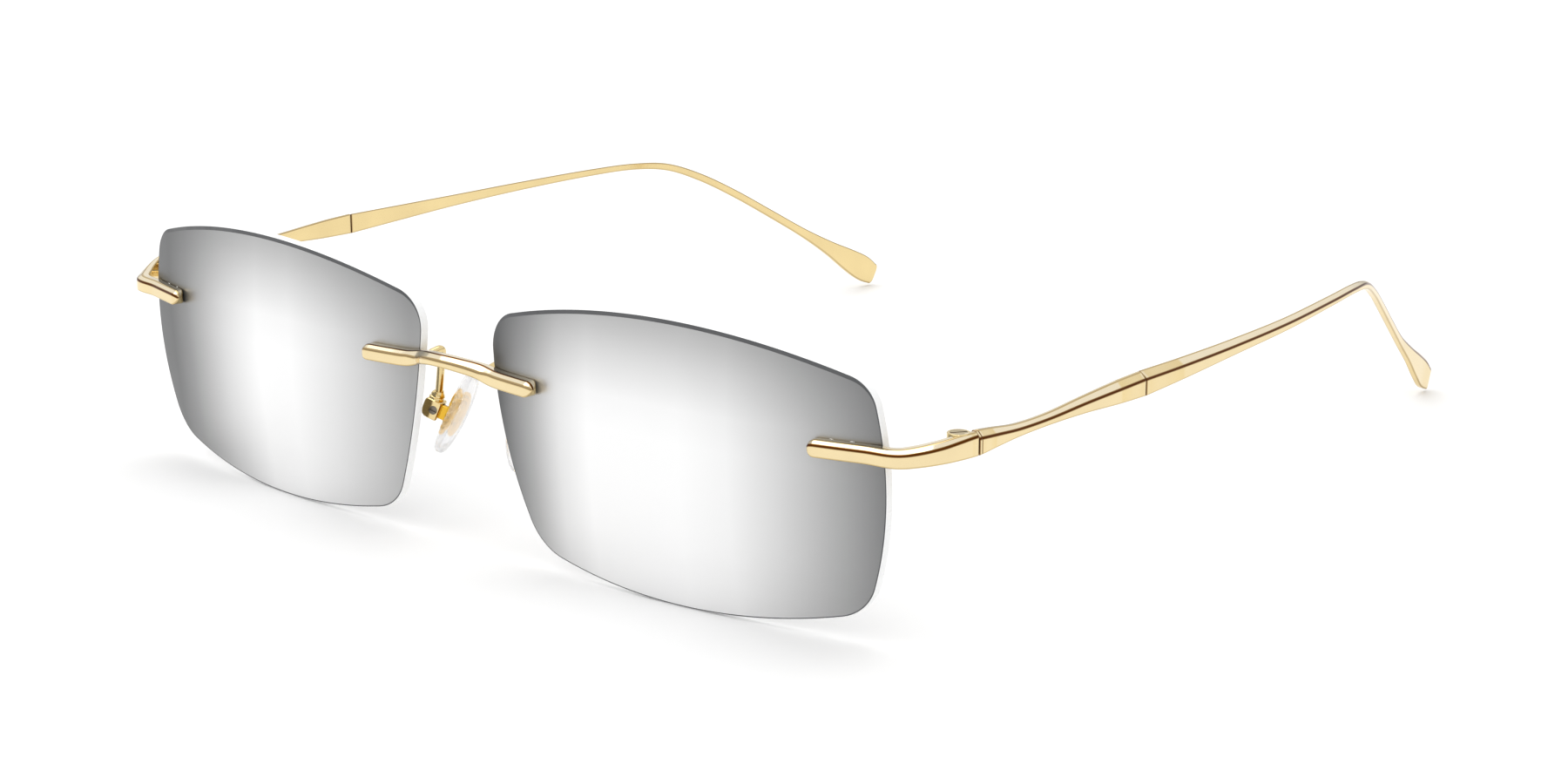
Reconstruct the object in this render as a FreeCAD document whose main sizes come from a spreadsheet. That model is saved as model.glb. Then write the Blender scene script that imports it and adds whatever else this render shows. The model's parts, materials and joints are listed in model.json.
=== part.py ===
import FreeCAD, Part
import math
import os
from FreeCAD import Placement, Rotation, Vector

# Rimless eyeglasses, lens-mounted metal, resting on a table with the temples open.
# +X is the wearer's left, -Y is the front, +Z is up.  Everything is in millimetres.
# The lens bottoms and the temple tips touch z = 0.

doc = FreeCAD.newDocument("rimless_eyeglasses")
sheet = doc.addObject("Spreadsheet::Sheet", "sizes")

SIZES = {
    # overall
    "depth_center": 70.48,
    # lenses
    "lens_centre_x": 35.4,
    "lens_centre_y": -3.0,
    "lens_centre_z": 17.935,
    "lens_thickness": 1.1,
    "lens_radius": 135.0,
    "lens_wrap": 4.4,
    "lens_tilt": 3.45,
    "lens_blank": 8.0,
    # where the bridge and the endpieces are pinned to the lens
    "mount_offset": 24.2,
    "mount_rise": 6.0,
    "pin_spacing": 2.6,
    "pin_radius": 0.5,
    "pin_length": 2.1,
    "sleeve_radius": 0.75,
    "sleeve_bore": 0.51,
    "lens_hole_radius": 0.76,
    "plug_plate_thickness": 0.5,
    "plug_plate_radius": 0.95,
    # metal bars on the lens fronts
    "bar_thickness": 1.8,
    "endpiece_thickness": 1.65,
    "bar_gap": 0.02,
    # nose pads and their arms
    "arm_radius": 0.5,
    "arm_foot_radius": 0.62,
    "arm_foot_length": 0.9,
    "arm_bend_radius": 1.1,
    "pad_thickness": 2.2,
    "pad_edge_fillet": 0.7,
    "insert_thickness": 0.5,
    "tongue_thickness": 0.9,
    "tongue_radius": 0.9,
    "box_cheek": 0.62,
    "box_side_gap": 0.06,
    "box_half_height": 1.25,
    "box_dome_radius": 0.95,
    "pad_screw_radius": 0.4,
    "pad_screw_head_radius": 0.55,
    "pad_screw_head_depth": 0.3,
    "pad_bore_radius": 0.45,
    # hinges
    "hinge_x": 70.0,
    "hinge_y": 8.6,
    "hinge_bottom": 23.25,
    "knuckle_radius": 1.35,
    "knuckle_height": 0.8,
    "middle_knuckle_height": 0.9,
    "knuckle_gap": 0.15,
    "washer_thickness": 0.12,
    "washer_radius": 1.3,
    "hinge_screw_radius": 0.6,
    "hinge_bore_radius": 0.65,
    "hinge_head_radius": 1.0,
    "hinge_head_depth": 0.3,
    "screw_slot_width": 0.28,
    "screw_slot_depth": 0.18,
    "knuckle_clearance": 0.13,
    # temples
    "temple_outer_x": 71.9,
    "temple_thickness": 1.3,
    "endpiece_end_y": 10.0,
    "temple_start_y": 10.15,
    "joint_y": 43.25,
    "joint_gap": 0.1,
    "tenon_length": 4.0,
    "tenon_height": 1.5,
    "tenon_thickness": 0.6,
    "tenon_clearance": 0.03,
    "tenon_centre_z": 24.88,
}

for row, (alias, number) in enumerate(SIZES.items(), start=1):
    sheet.set(f"A{row}", alias)
    sheet.set(f"B{row}", str(number))
    sheet.setAlias(f"B{row}", alias)
doc.recompute()


def size(alias):
    """The number that the sheet holds under this name."""
    return float(sheet.get(alias))


def to_frame(placement):
    """The same placement, moved so that the object's depth is centred on y = 0."""
    shift = Placement(Vector(0, -size("depth_center"), 0), Rotation())
    return shift.multiply(placement)


PART_FRAME = to_frame(Placement())


# ---------------------------------------------------------------- sketch and feature helpers

def origin_plane(body, role):
    """One of the body's own three origin planes."""
    return next(item for item in body.Origin.OriginFeatures if item.Role == role)


def new_body(name, placement=None):
    body = doc.addObject("PartDesign::Body", name)
    body.Label = name
    body.Placement = placement or PART_FRAME
    return body


def new_sketch(body, name, role, curves, height=0.0):
    """A sketch on one of the body's origin planes, moved along the plane's normal by height."""
    sketch = body.newObject("Sketcher::SketchObject", name)
    sketch.AttachmentSupport = (origin_plane(body, role), [""])
    sketch.MapMode = "FlatFace"
    sketch.AttachmentOffset = Placement(Vector(0, 0, height), Rotation())
    for curve in curves:
        sketch.addGeometry(curve, False)
    return sketch


def outline(*stretches):
    """Closed outline.  A stretch of two points is a line, a longer one is a smooth curve."""
    curves = []
    for stretch in stretches:
        points = [Vector(a, b, 0) for a, b in stretch]
        if len(points) == 2:
            curves.append(Part.LineSegment(points[0], points[1]))
        else:
            spline = Part.BSplineCurve()
            spline.interpolate(points)
            curves.append(spline)
    return curves


def polygon(*corners):
    ends = corners[1:] + corners[:1]
    return outline(*[(start, end) for start, end in zip(corners, ends)])


def rectangle(low_a, low_b, high_a, high_b):
    return polygon((low_a, low_b), (high_a, low_b), (high_a, high_b), (low_a, high_b))


def circle(a, b, radius):
    return [Part.Circle(Vector(a, b, 0), Vector(0, 0, 1), radius)]


def pad(body, name, sketch, length, both_ways=False, expression=None):
    feature = body.newObject("PartDesign::Pad", name)
    feature.Profile = sketch
    feature.Length = length
    feature.Midplane = both_ways
    if expression:
        feature.setExpression("Length", expression)
    return feature


def pocket_through(body, name, sketch):
    """Cut the sketch away through the whole body, both ways from the sketch's plane."""
    feature = body.newObject("PartDesign::Pocket", name)
    feature.Profile = sketch
    feature.Midplane = True
    feature.Type = "Length"
    feature.Length = 400
    return feature


def round_tool(body, kind, name, radius, height, placement, radius_alias=None):
    """An added or removed cylinder inside a body, in the body's own coordinates."""
    feature = body.newObject(f"PartDesign::{kind}Cylinder", name)
    feature.Radius = radius
    feature.Height = height
    if radius_alias:
        feature.setExpression("Radius", f"sizes.{radius_alias}")
    feature.AttachmentOffset = placement
    feature.Placement = placement
    return feature


def box_tool(body, kind, name, low, high, placement=None):
    """An added or removed block between two corners, in the body's own coordinates."""
    feature = body.newObject(f"PartDesign::{kind}Box", name)
    feature.Length = high[0] - low[0]
    feature.Width = high[1] - low[1]
    feature.Height = high[2] - low[2]
    corner = Placement(Vector(*low), Rotation())
    feature.Placement = placement.multiply(corner) if placement else corner
    return feature


def finish(body):
    doc.recompute()
    return body


def frame_placement(origin, x_axis, y_axis, z_axis):
    """Placement whose axes are the three given directions."""
    matrix = FreeCAD.Matrix(
        x_axis.x, y_axis.x, z_axis.x, origin.x,
        x_axis.y, y_axis.y, z_axis.y, origin.y,
        x_axis.z, y_axis.z, z_axis.z, origin.z,
        0, 0, 0, 1)
    return Placement(matrix)


# turn a cylinder, which is made along +Z, to lie along +Y or +X
ALONG_Y = Rotation(Vector(1, 0, 0), -90)
ALONG_X = Rotation(Vector(0, 1, 0), 90)


# ---------------------------------------------------------------- lens geometry

def lens_placement(side):
    """Lens frame: origin on the front vertex, +Y to the back, +X towards the wearer's left."""
    turn = Rotation(Vector(0, 0, 1), side * size("lens_wrap"))
    lean = Rotation(Vector(1, 0, 0), size("lens_tilt"))
    centre = Vector(side * size("lens_centre_x"), size("lens_centre_y"), size("lens_centre_z"))
    return Placement(centre, turn.multiply(lean))


def mount_in_lens(side, place):
    """Frame on the lens front, +Y along the surface normal into the lens.

    place is -1 for the bridge side of the lens and +1 for the temple side.
    """
    radius = size("lens_radius")
    across = side * place * size("mount_offset")
    rise = size("mount_rise")
    depth = radius - math.sqrt(radius ** 2 - across ** 2 - rise ** 2)
    point = Vector(across, depth, rise)
    inward = (Vector(0, radius, 0) - point).normalize()
    up = Vector(0, 0, 1)
    tangent = inward.cross(up).normalize()
    return frame_placement(point, tangent, inward, tangent.cross(inward))


def mount_frame(side, place):
    return lens_placement(side).multiply(mount_in_lens(side, place))


def pin_offsets():
    half = size("pin_spacing") / 2
    return (-half, half)


# The lens seen from the front is four shallow arcs that meet at rounded corners.  Each line
# holds a corner (outwards from the lens centre, height), how far the arc from this corner to
# the next one bulges, and the radius that rounds the corner.
LENS_CORNERS = (
    ((-29.15, 13.25), 4.45, 5.0),
    ((27.7, 13.65), 2.55, 4.8),
    ((26.4, -14.4), 3.2, 6.4),
    ((-22.25, -15.25), 1.6, 7.0),
)


def lens_outline(side):
    """The four arcs of the outline, meeting at corners that are still sharp."""
    curves = []
    for number, (corner, bulge, _) in enumerate(LENS_CORNERS):
        start = Vector(side * corner[0], corner[1], 0)
        after = LENS_CORNERS[(number + 1) % len(LENS_CORNERS)][0]
        end = Vector(side * after[0], after[1], 0)
        outwards = (end - start).cross(Vector(0, 0, -side)).normalize()
        curves.append(Part.Arc(start, (start + end) / 2 + outwards * bulge, end))
    return curves


def round_lens_corners(body, side, blank):
    """One fillet on each of the four straight edges of the blank."""
    rounded = blank
    for number, (corner, _, radius) in enumerate(LENS_CORNERS, start=1):
        doc.recompute()
        place = Vector(side * corner[0], 0, corner[1])
        distances = [
            edge.CenterOfMass.distanceToPoint(place) for edge in rounded.Shape.Edges]
        nearest = distances.index(min(distances)) + 1
        fillet = body.newObject("PartDesign::Fillet", f"corner_{number}")
        fillet.Base = (rounded, [f"Edge{nearest}"])
        fillet.Radius = radius
        rounded = fillet


def build_lens(side, label):
    """Spherical shell cut to the lens outline, with four holes for the clamping pins."""
    body = new_body(f"lens_{label}", to_frame(lens_placement(side)))
    radius = size("lens_radius")
    back_radius = radius - size("lens_thickness")
    reach = 36.0
    blank = size("lens_blank")
    blank_sketch = new_sketch(body, "front_outline", "XZ_Plane", lens_outline(side))
    round_lens_corners(body, side, pad(body, "blank", blank_sketch, 2 * blank, True))

    front_edge = radius - math.sqrt(radius ** 2 - reach ** 2)
    front_mid = radius - math.sqrt(radius ** 2 - (reach / 2) ** 2)
    front_arc = Part.Arc(Vector(0, 0, 0), Vector(reach / 2, front_mid, 0), Vector(reach, front_edge, 0))
    front_curves = [front_arc] + outline(
        ((reach, front_edge), (reach, -2 * blank)),
        ((reach, -2 * blank), (0, -2 * blank)),
        ((0, -2 * blank), (0, 0)))
    back_edge = radius - math.sqrt(back_radius ** 2 - reach ** 2)
    back_mid = radius - math.sqrt(back_radius ** 2 - (reach / 2) ** 2)
    back_start = radius - back_radius
    back_arc = Part.Arc(
        Vector(0, back_start, 0), Vector(reach / 2, back_mid, 0), Vector(reach, back_edge, 0))
    back_curves = [back_arc] + outline(
        ((reach, back_edge), (reach, 3 * blank)),
        ((reach, 3 * blank), (0, 3 * blank)),
        ((0, 3 * blank), (0, back_start)))
    for name, curves in (("front_surface", front_curves), ("back_surface", back_curves)):
        sketch = new_sketch(body, name, "XY_Plane", curves)
        groove = body.newObject("PartDesign::Groove", f"{name}_cut")
        groove.Profile = sketch
        groove.ReferenceAxis = (sketch, ["V_Axis"])
        groove.Angle = 360

    for place in (-1, 1):
        for offset in pin_offsets():
            drill = mount_in_lens(side, place).multiply(Placement(Vector(offset, -2, 0), ALONG_Y))
            round_tool(body, "Subtractive", "pin_hole", size("lens_hole_radius"), 6, drill,
                       "lens_hole_radius")
    return finish(body)


def build_plugs(side, label):
    """Clear double plugs: two sleeves and a joining plate behind the lens, at both mounts."""
    tools = []
    thickness = size("lens_thickness")
    plate = size("plug_plate_thickness")
    seat = thickness + 0.02
    for place in (-1, 1):
        name = "inner" if place < 0 else "outer"
        body = new_body(f"plug_{name}_{label}", to_frame(mount_frame(side, place)))
        spacing = size("pin_spacing") / 2
        radius = size("plug_plate_radius")
        plate_curves = outline(
            ((-spacing, -radius), (spacing, -radius)),
            ((spacing, radius), (-spacing, radius)))
        for sign in (-1, 1):
            middle = Vector(sign * (spacing + radius), 0, 0)
            start = Vector(sign * spacing, -radius, 0)
            end = Vector(sign * spacing, radius, 0)
            plate_curves.append(Part.Arc(start, middle, end))
        # this plane's normal is -Y, so the plate grows backwards from a negative height
        sketch = new_sketch(body, "plate_outline", "XZ_Plane", plate_curves, -(seat + plate))
        pad(body, "plate", sketch, plate, expression="sizes.plug_plate_thickness")
        for offset in pin_offsets():
            start = Placement(Vector(offset, 0.02, 0), ALONG_Y)
            round_tool(body, "Additive", "sleeve", size("sleeve_radius"), seat + plate / 2, start,
                       "sleeve_radius")
        for offset in pin_offsets():
            start = Placement(Vector(offset, -1, 0), ALONG_Y)
            round_tool(body, "Subtractive", "bore", size("sleeve_bore"), 8, start, "sleeve_bore")
        finish(body)
        tools.append(body)
    group = doc.addObject("Part::Compound", f"lens_plugs_{label}")
    group.Label = f"lens_plugs_{label}"
    group.Links = tools
    return finish(group)


# ---------------------------------------------------------------- bars pinned to the lenses

def on_bar(side, place, along, ahead):
    """Point in plan: along the lens tangent outwards from the mount, and ahead of the lens."""
    frame = mount_frame(side, place)
    outwards = side * frame.Rotation.multVec(Vector(1, 0, 0))
    inward = frame.Rotation.multVec(Vector(0, 1, 0))
    point = frame.Base + along * outwards - ahead * inward
    return (point.x, point.y)


def add_pins(body, side, place):
    """Two pins from inside the bar, through the lens and the plug."""
    for offset in pin_offsets():
        start = mount_frame(side, place).multiply(Placement(Vector(offset, -0.6, 0), ALONG_Y))
        round_tool(body, "Additive", "pin", size("pin_radius"), size("pin_length") + 0.6, start,
                   "pin_radius")


def mirrored(points):
    return tuple((-a, b) for a, b in reversed(points))


def build_bridge():
    """Arched bar with a flat pad at each end, pinned to the fronts of both lenses."""
    body = new_body("bridge")
    near = size("bar_gap")
    far = near + size("bar_thickness")
    back = (on_bar(1, -1, 4.2, near), on_bar(1, -1, -4.3, near), (5.3, -2.6), (2.8, -3.75))
    front = (on_bar(1, -1, 4.2, far), on_bar(1, -1, -3.4, far), (5.5, -4.5), (3.1, -5.55))
    back_pad = back[:2]
    front_pad = front[:2]
    back_arch = back[1:] + ((0, -4.45),) + mirrored(back[1:])
    front_arch = front[1:] + ((0, -6.1),) + mirrored(front[1:])
    plan = outline(
        back_pad, back_arch, mirrored(back_pad), (mirrored(back)[-1], mirrored(front)[-1]),
        tuple(reversed(mirrored(front_pad))), tuple(reversed(front_arch)),
        tuple(reversed(front_pad)), (front[0], back[0]))
    pad(body, "bar", new_sketch(body, "plan", "XY_Plane", plan, 20), 10)

    tip_x = 15.3
    upper = ((14.4, 24.9), (10.0, 24.95), (6.8, 25.05), (3.2, 25.85), (0, 26.15))
    lower = ((14.4, 22.95), (10.0, 22.95), (6.8, 23.15), (3.2, 24.25), (0, 24.65))
    window = outline(
        upper + mirrored(upper)[1:],
        ((-14.4, 24.9), (-tip_x + 0.2, 24.5), (-tip_x, 23.92), (-tip_x + 0.2, 23.35), (-14.4, 22.95)),
        tuple(reversed(lower + mirrored(lower)[1:])),
        ((14.4, 22.95), (tip_x - 0.2, 23.35), (tip_x, 23.92), (tip_x - 0.2, 24.5), (14.4, 24.9)))
    around = rectangle(-30, 10, 30, 40)
    pocket_through(body, "arch_cut", new_sketch(body, "front_view", "XZ_Plane", around + window))
    for side in (-1, 1):
        add_pins(body, side, -1)
    return finish(body)


def build_endpiece(side, label):
    """Flat pad on the lens front that bends back and ends in the two outer hinge knuckles."""
    body = new_body(f"endpiece_{label}")
    near = size("bar_gap")
    far = near + size("endpiece_thickness")
    axis_x = size("hinge_x")
    axis_y = size("hinge_y")
    radius = size("knuckle_radius")
    end_y = size("endpiece_end_y")
    outer = size("temple_outer_x")

    def around_axis(angle):
        turn = math.radians(angle)
        return (axis_x + radius * math.cos(turn), axis_y + radius * math.sin(turn))

    tip_back = on_bar(1, 1, -4.0, near)
    tip_front = on_bar(1, 1, -3.8, far)
    edge_back = on_bar(1, 1, 5.6, near)
    edge_front = on_bar(1, 1, 4.2, far)
    barrel = tuple(around_axis(angle) for angle in (45, 95, 150, 205, 255))
    stretches = (
        (tip_front, edge_front),
        (edge_front, (67.0, 0.7), (69.2, 2.5), (70.75, 4.95), (71.62, 7.5), (outer, end_y)),
        ((outer, end_y), (around_axis(45)[0], end_y)),
        ((around_axis(45)[0], end_y), around_axis(45)),
        barrel,
        (around_axis(255), (69.1, 5.8), (67.9, 4.1), (66.5, 2.85), edge_back),
        (edge_back, tip_back),
        (tip_back, tip_front),
    )
    plan = outline(*[tuple((side * a, b) for a, b in stretch) for stretch in stretches])
    pad(body, "bar", new_sketch(body, "plan", "XY_Plane", plan, 20), 10)

    hinge_low = size("hinge_bottom")
    hinge_high = hinge_top()
    window = outline(
        ((-5, 24.85), (0.5, 24.85), (3.0, 24.95), (6.0, 25.75), (7.6, hinge_high), (14, hinge_high)),
        ((14, hinge_high), (14, hinge_low)),
        ((14, hinge_low), (7.6, hinge_low), (4.5, 22.95), (1.5, 22.75), (-5, 22.75)),
        ((-5, 22.75), (-5, 24.85)))
    around = rectangle(-20, 10, 20, 40)
    pocket_through(body, "side_cut", new_sketch(body, "side_view", "YZ_Plane", around + window))

    slot_low = hinge_low + size("knuckle_height")
    slot_high = hinge_high - size("knuckle_height")
    slot = radius + size("knuckle_clearance")
    slot_base = Placement(Vector(side * axis_x, axis_y, slot_low), Rotation())
    round_tool(body, "Subtractive", "knuckle_slot", slot, slot_high - slot_low, slot_base)
    low_x, high_x = sorted((side * (axis_x - 3), side * (axis_x + 1.3)))
    box_tool(body, "Subtractive", "web_slot", (low_x, axis_y, slot_low), (high_x, end_y + 1, slot_high))
    bore_base = Placement(Vector(side * axis_x, axis_y, hinge_low - 1), Rotation())
    round_tool(body, "Subtractive", "screw_bore", size("hinge_bore_radius"), 6, bore_base,
               "hinge_bore_radius")
    head_base = Placement(Vector(side * axis_x, axis_y, hinge_high - size("hinge_head_depth")), Rotation())
    round_tool(body, "Subtractive", "head_recess", size("hinge_head_radius") + 0.03, 3, head_base)
    add_pins(body, side, 1)
    return finish(body)


# ---------------------------------------------------------------- nose pads

def pad_axes(side):
    """Directions of a nose pad: back across its width, towards the nose, and along its length."""
    length = Vector(-0.302, 0.231, 0.925).normalize()
    towards = Vector(-1.0, 0.5, 0.0)
    towards = (towards - length * towards.dot(length)).normalize()
    across = towards.cross(length)
    return [Vector(side * v.x, v.y, v.z) for v in (across, towards, length)]


def pad_placement(side):
    """Pad frame: x across (to the back on the left, to the front on the right), +y to the nose."""
    across, towards, length = pad_axes(side)
    centre = Vector(side * 6.2, 3.2, 15.8)
    return frame_placement(centre, across * side, towards, length)


# where the pad's screw crosses the pad frame: across, towards the nose, along
SCREW_SPOT = (-0.2, -2.68, -0.77)


def build_nose_pad(side, label):
    """Soft teardrop pad with a shallow recess behind for its metal insert."""
    body = new_body(f"nose_pad_{label}", to_frame(pad_placement(side)))
    points = (
        (0.5, 5.6), (2.4, 4.6), (3.2, 2.0), (2.9, -1.1), (1.5, -4.0), (-0.5, -5.5), (-2.1, -5.1),
        (-2.7, -2.9), (-2.5, 0.4), (-2.0, 3.3), (-1.0, 5.0),
    )
    spline = Part.BSplineCurve()
    spline.interpolate([Vector(side * a, b, 0) for a, b in points], True)
    thickness = size("pad_thickness")
    sketch = new_sketch(body, "teardrop", "XZ_Plane", [spline], -thickness / 2)
    cushion = pad(body, "cushion", sketch, thickness, expression="sizes.pad_thickness")
    doc.recompute()
    rims = [
        f"Edge{number}" for number, edge in enumerate(cushion.Shape.Edges, start=1)
        if edge.Length > 20]
    fillet = body.newObject("PartDesign::Fillet", "rim_round")
    fillet.Base = (cushion, rims)
    fillet.Radius = size("pad_edge_fillet")
    fillet.setExpression("Radius", "sizes.pad_edge_fillet")
    recess = size("insert_thickness") + 0.02
    recess_sketch = new_sketch(body, "insert_recess", "XZ_Plane", insert_outline(side, 0.03),
                               thickness / 2 - recess)
    pad_recess = body.newObject("PartDesign::Pocket", "recess")
    pad_recess.Profile = recess_sketch
    pad_recess.Type = "Length"
    pad_recess.Length = 3
    pad_recess.Reversed = True
    return finish(body)


def insert_outline(side, grow):
    """D-shaped plate, flat towards the front of the pad."""
    stretches = (
        ((-2.0 - grow, -2.9 - grow), (-2.0 - grow, 2.3 + grow)),
        ((-2.0 - grow, 2.3 + grow), (-0.2, 3.1 + grow), (1.6 + grow, 1.9 + grow), (1.9 + grow, 0),
         (0.7 + grow, -2.5 - grow), (-0.7, -3.3 - grow), (-2.0 - grow, -2.9 - grow)),
    )
    return outline(*[tuple((side * a, b) for a, b in stretch) for stretch in stretches])


def build_pad_insert(side, label):
    """Metal plate in the back of the nose pad, with a drilled tongue for the screw."""
    body = new_body(f"pad_insert_{label}", to_frame(pad_placement(side)))
    thickness = size("pad_thickness")
    plate = size("insert_thickness")
    sketch = new_sketch(body, "plate_outline", "XZ_Plane", insert_outline(side, 0), thickness / 2 - plate)
    pad(body, "plate", sketch, plate, expression="sizes.insert_thickness")
    across, behind, along = SCREW_SPOT
    half = size("tongue_thickness") / 2
    reach = size("tongue_radius")
    low_x, high_x = sorted((side * (across - half), side * (across + half)))
    box_tool(body, "Additive", "tongue", (low_x, behind, along - reach),
             (high_x, -thickness / 2 + 0.2, along + reach))
    end = Placement(Vector(low_x, behind, along), ALONG_X)
    round_tool(body, "Additive", "tongue_end", reach, 2 * half, end, "tongue_radius")
    drill = Placement(Vector(low_x - 1, behind, along), ALONG_X)
    round_tool(body, "Subtractive", "tongue_bore", size("pad_bore_radius"), 4, drill,
               "pad_bore_radius")
    return finish(body)


def build_pad_box(side, label):
    """Small cup that holds the tongue between two cheeks, with a domed top for the arm."""
    body = new_body(f"pad_box_{label}", to_frame(pad_placement(side)))
    across, behind, along = SCREW_SPOT
    inner = size("tongue_thickness") / 2 + size("box_side_gap")
    outer = inner + size("box_cheek")
    half = size("box_half_height")
    back = behind - 1.5
    mouth = behind + 0.77
    low_x, high_x = sorted((side * (across - outer), side * (across + outer)))
    box_tool(body, "Additive", "cup", (low_x, back, along - half), (high_x, mouth, along + half))
    dome = Placement(Vector(side * across, behind - 0.4, along + half - 0.1), Rotation())
    round_tool(body, "Additive", "dome", size("box_dome_radius"), 1.4, dome, "box_dome_radius")
    low_x, high_x = sorted((side * (across - inner), side * (across + inner)))
    box_tool(body, "Subtractive", "tongue_slot", (low_x, behind - 1.05, along - half - 1),
             (high_x, mouth + 1, along + half - 0.2))
    start_x = side * (across - outer)
    along_screw = Rotation(Vector(0, 1, 0), 90 * side)
    bore = Placement(Vector(start_x - side, behind, along), along_screw)
    round_tool(body, "Subtractive", "screw_bore", size("pad_screw_radius") + 0.02, 6, bore)
    recess = Placement(Vector(start_x - side, behind, along), along_screw)
    round_tool(body, "Subtractive", "head_recess", size("pad_screw_head_radius") + 0.02,
               1 + size("pad_screw_head_depth"), recess)
    return finish(body)


def slotted_screw(name, placement, head_radius, head_depth, shank_radius, length):
    """Screw whose head is at the origin and whose shank runs along local +Z."""
    body = new_body(name, to_frame(placement))
    profile = polygon(
        (0, 0), (head_radius, 0), (head_radius, head_depth), (shank_radius, head_depth),
        (shank_radius, length), (0, length))
    sketch = new_sketch(body, "half_profile", "XZ_Plane", profile)
    turned = body.newObject("PartDesign::Revolution", "turned")
    turned.Profile = sketch
    turned.ReferenceAxis = (sketch, ["V_Axis"])
    turned.Angle = 360
    half = size("screw_slot_width") / 2
    box_tool(body, "Subtractive", "slot", (-half, -3, -1), (half, 3, size("screw_slot_depth")))
    return finish(body)


def build_pad_screw(side, label):
    across, behind, along = SCREW_SPOT
    outer = size("tongue_thickness") / 2 + size("box_side_gap") + size("box_cheek")
    head = Placement(Vector(side * (across - outer), behind, along), Rotation(Vector(0, 1, 0), 90 * side))
    return slotted_screw(
        f"pad_screw_{label}", pad_placement(side).multiply(head), size("pad_screw_head_radius"),
        size("pad_screw_head_depth") - 0.02, size("pad_screw_radius"), 2 * outer)


def build_pad_arm(side, label, bridge, box):
    """Bent wire from the back of the bridge to the top of the pad box."""
    across, behind, along = SCREW_SPOT
    top = Vector(side * across, behind - 0.4, along + size("box_half_height") + 0.9)
    root = Vector(side * 5.6, -2.95, 24.3)
    knee = Vector(side * 5.35, 0.2, 25.0)
    end = pad_placement(side).multVec(top)
    first = (knee - root)
    second = (end - knee)
    x_axis = Vector(first).normalize()
    z_axis = x_axis.cross(second).normalize()
    y_axis = z_axis.cross(x_axis)
    place = frame_placement(root, x_axis, y_axis, z_axis)
    body = new_body(f"arm_wire_{label}", to_frame(place))
    turn = x_axis.getAngle(second)
    bend = size("arm_bend_radius")
    cut_back = bend * math.tan(turn / 2)
    start = (0, 0)
    before = (first.Length - cut_back, 0)
    direction = (math.cos(turn), math.sin(turn))
    after = (first.Length + cut_back * direction[0], cut_back * direction[1])
    finish_point = (first.Length + second.Length * direction[0], second.Length * direction[1])
    half_turn = turn / 2
    middle = (before[0] + bend * math.sin(half_turn), bend - bend * math.cos(half_turn))
    path = outline((start, before), (after, finish_point))
    path.append(Part.Arc(Vector(*before, 0), Vector(*middle, 0), Vector(*after, 0)))
    spine = new_sketch(body, "path", "XY_Plane", path)
    section = new_sketch(body, "section", "YZ_Plane", circle(0, 0, size("arm_radius")))
    wire = body.newObject("PartDesign::AdditivePipe", "wire")
    wire.Profile = section
    wire.Spine = (spine, [])
    doc.recompute()
    foot = Placement(Vector(0, 0, 0), ALONG_X)
    round_tool(body, "Additive", "foot", size("arm_foot_radius"), size("arm_foot_length"), foot,
               "arm_foot_radius")
    finish(body)
    trimmed = doc.addObject("Part::Cut", f"arm_trimmed_{label}")
    trimmed.Base = body
    trimmed.Tool = bridge
    arm = doc.addObject("Part::Cut", f"pad_arm_{label}")
    arm.Label = f"pad_arm_{label}"
    arm.Base = trimmed
    arm.Tool = box
    return finish(arm)


# ---------------------------------------------------------------- hinges

def hinge_top():
    top = size("hinge_bottom") + 2 * size("knuckle_height") + size("middle_knuckle_height")
    return top + 2 * size("knuckle_gap")


def build_hinge_screw(side, label):
    head = Vector(side * size("hinge_x"), size("hinge_y"), hinge_top() - 0.02)
    place = Placement(head, Rotation(Vector(1, 0, 0), 180))
    turned = place.multiply(Placement(Vector(), Rotation(Vector(0, 0, 1), side * 35)))
    return slotted_screw(
        f"hinge_screw_{label}", turned, size("hinge_head_radius"), size("hinge_head_depth") - 0.04,
        size("hinge_screw_radius"), hinge_top() - size("hinge_bottom") - 0.04)


def build_hinge_washers(side, label):
    """Two thin plastic washers, one under and one over the temple's knuckle."""
    rings = []
    slack = (size("knuckle_gap") - size("washer_thickness")) / 2
    low = size("hinge_bottom") + size("knuckle_height") + slack
    high = low + size("knuckle_gap") + size("middle_knuckle_height")
    for name, level in (("lower", low), ("upper", high)):
        place = Placement(Vector(side * size("hinge_x"), size("hinge_y"), level), Rotation())
        ring = doc.addObject("Part::Cylinder", f"washer_disc_{name}_{label}")
        hole = doc.addObject("Part::Cylinder", f"washer_hole_{name}_{label}")
        ring.setExpression("Radius", "sizes.washer_radius")
        ring.setExpression("Height", "sizes.washer_thickness")
        hole.setExpression("Radius", "sizes.hinge_bore_radius")
        hole.setExpression("Height", "sizes.washer_thickness")
        ring.Placement = to_frame(place)
        hole.Placement = to_frame(place)
        washer = doc.addObject("Part::Cut", f"washer_{name}_{label}")
        washer.Base = ring
        washer.Tool = hole
        rings.append(washer)
    group = doc.addObject("Part::Compound", f"hinge_washers_{label}")
    group.Label = f"hinge_washers_{label}"
    group.Links = rings
    return finish(group)


# ---------------------------------------------------------------- temples

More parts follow.
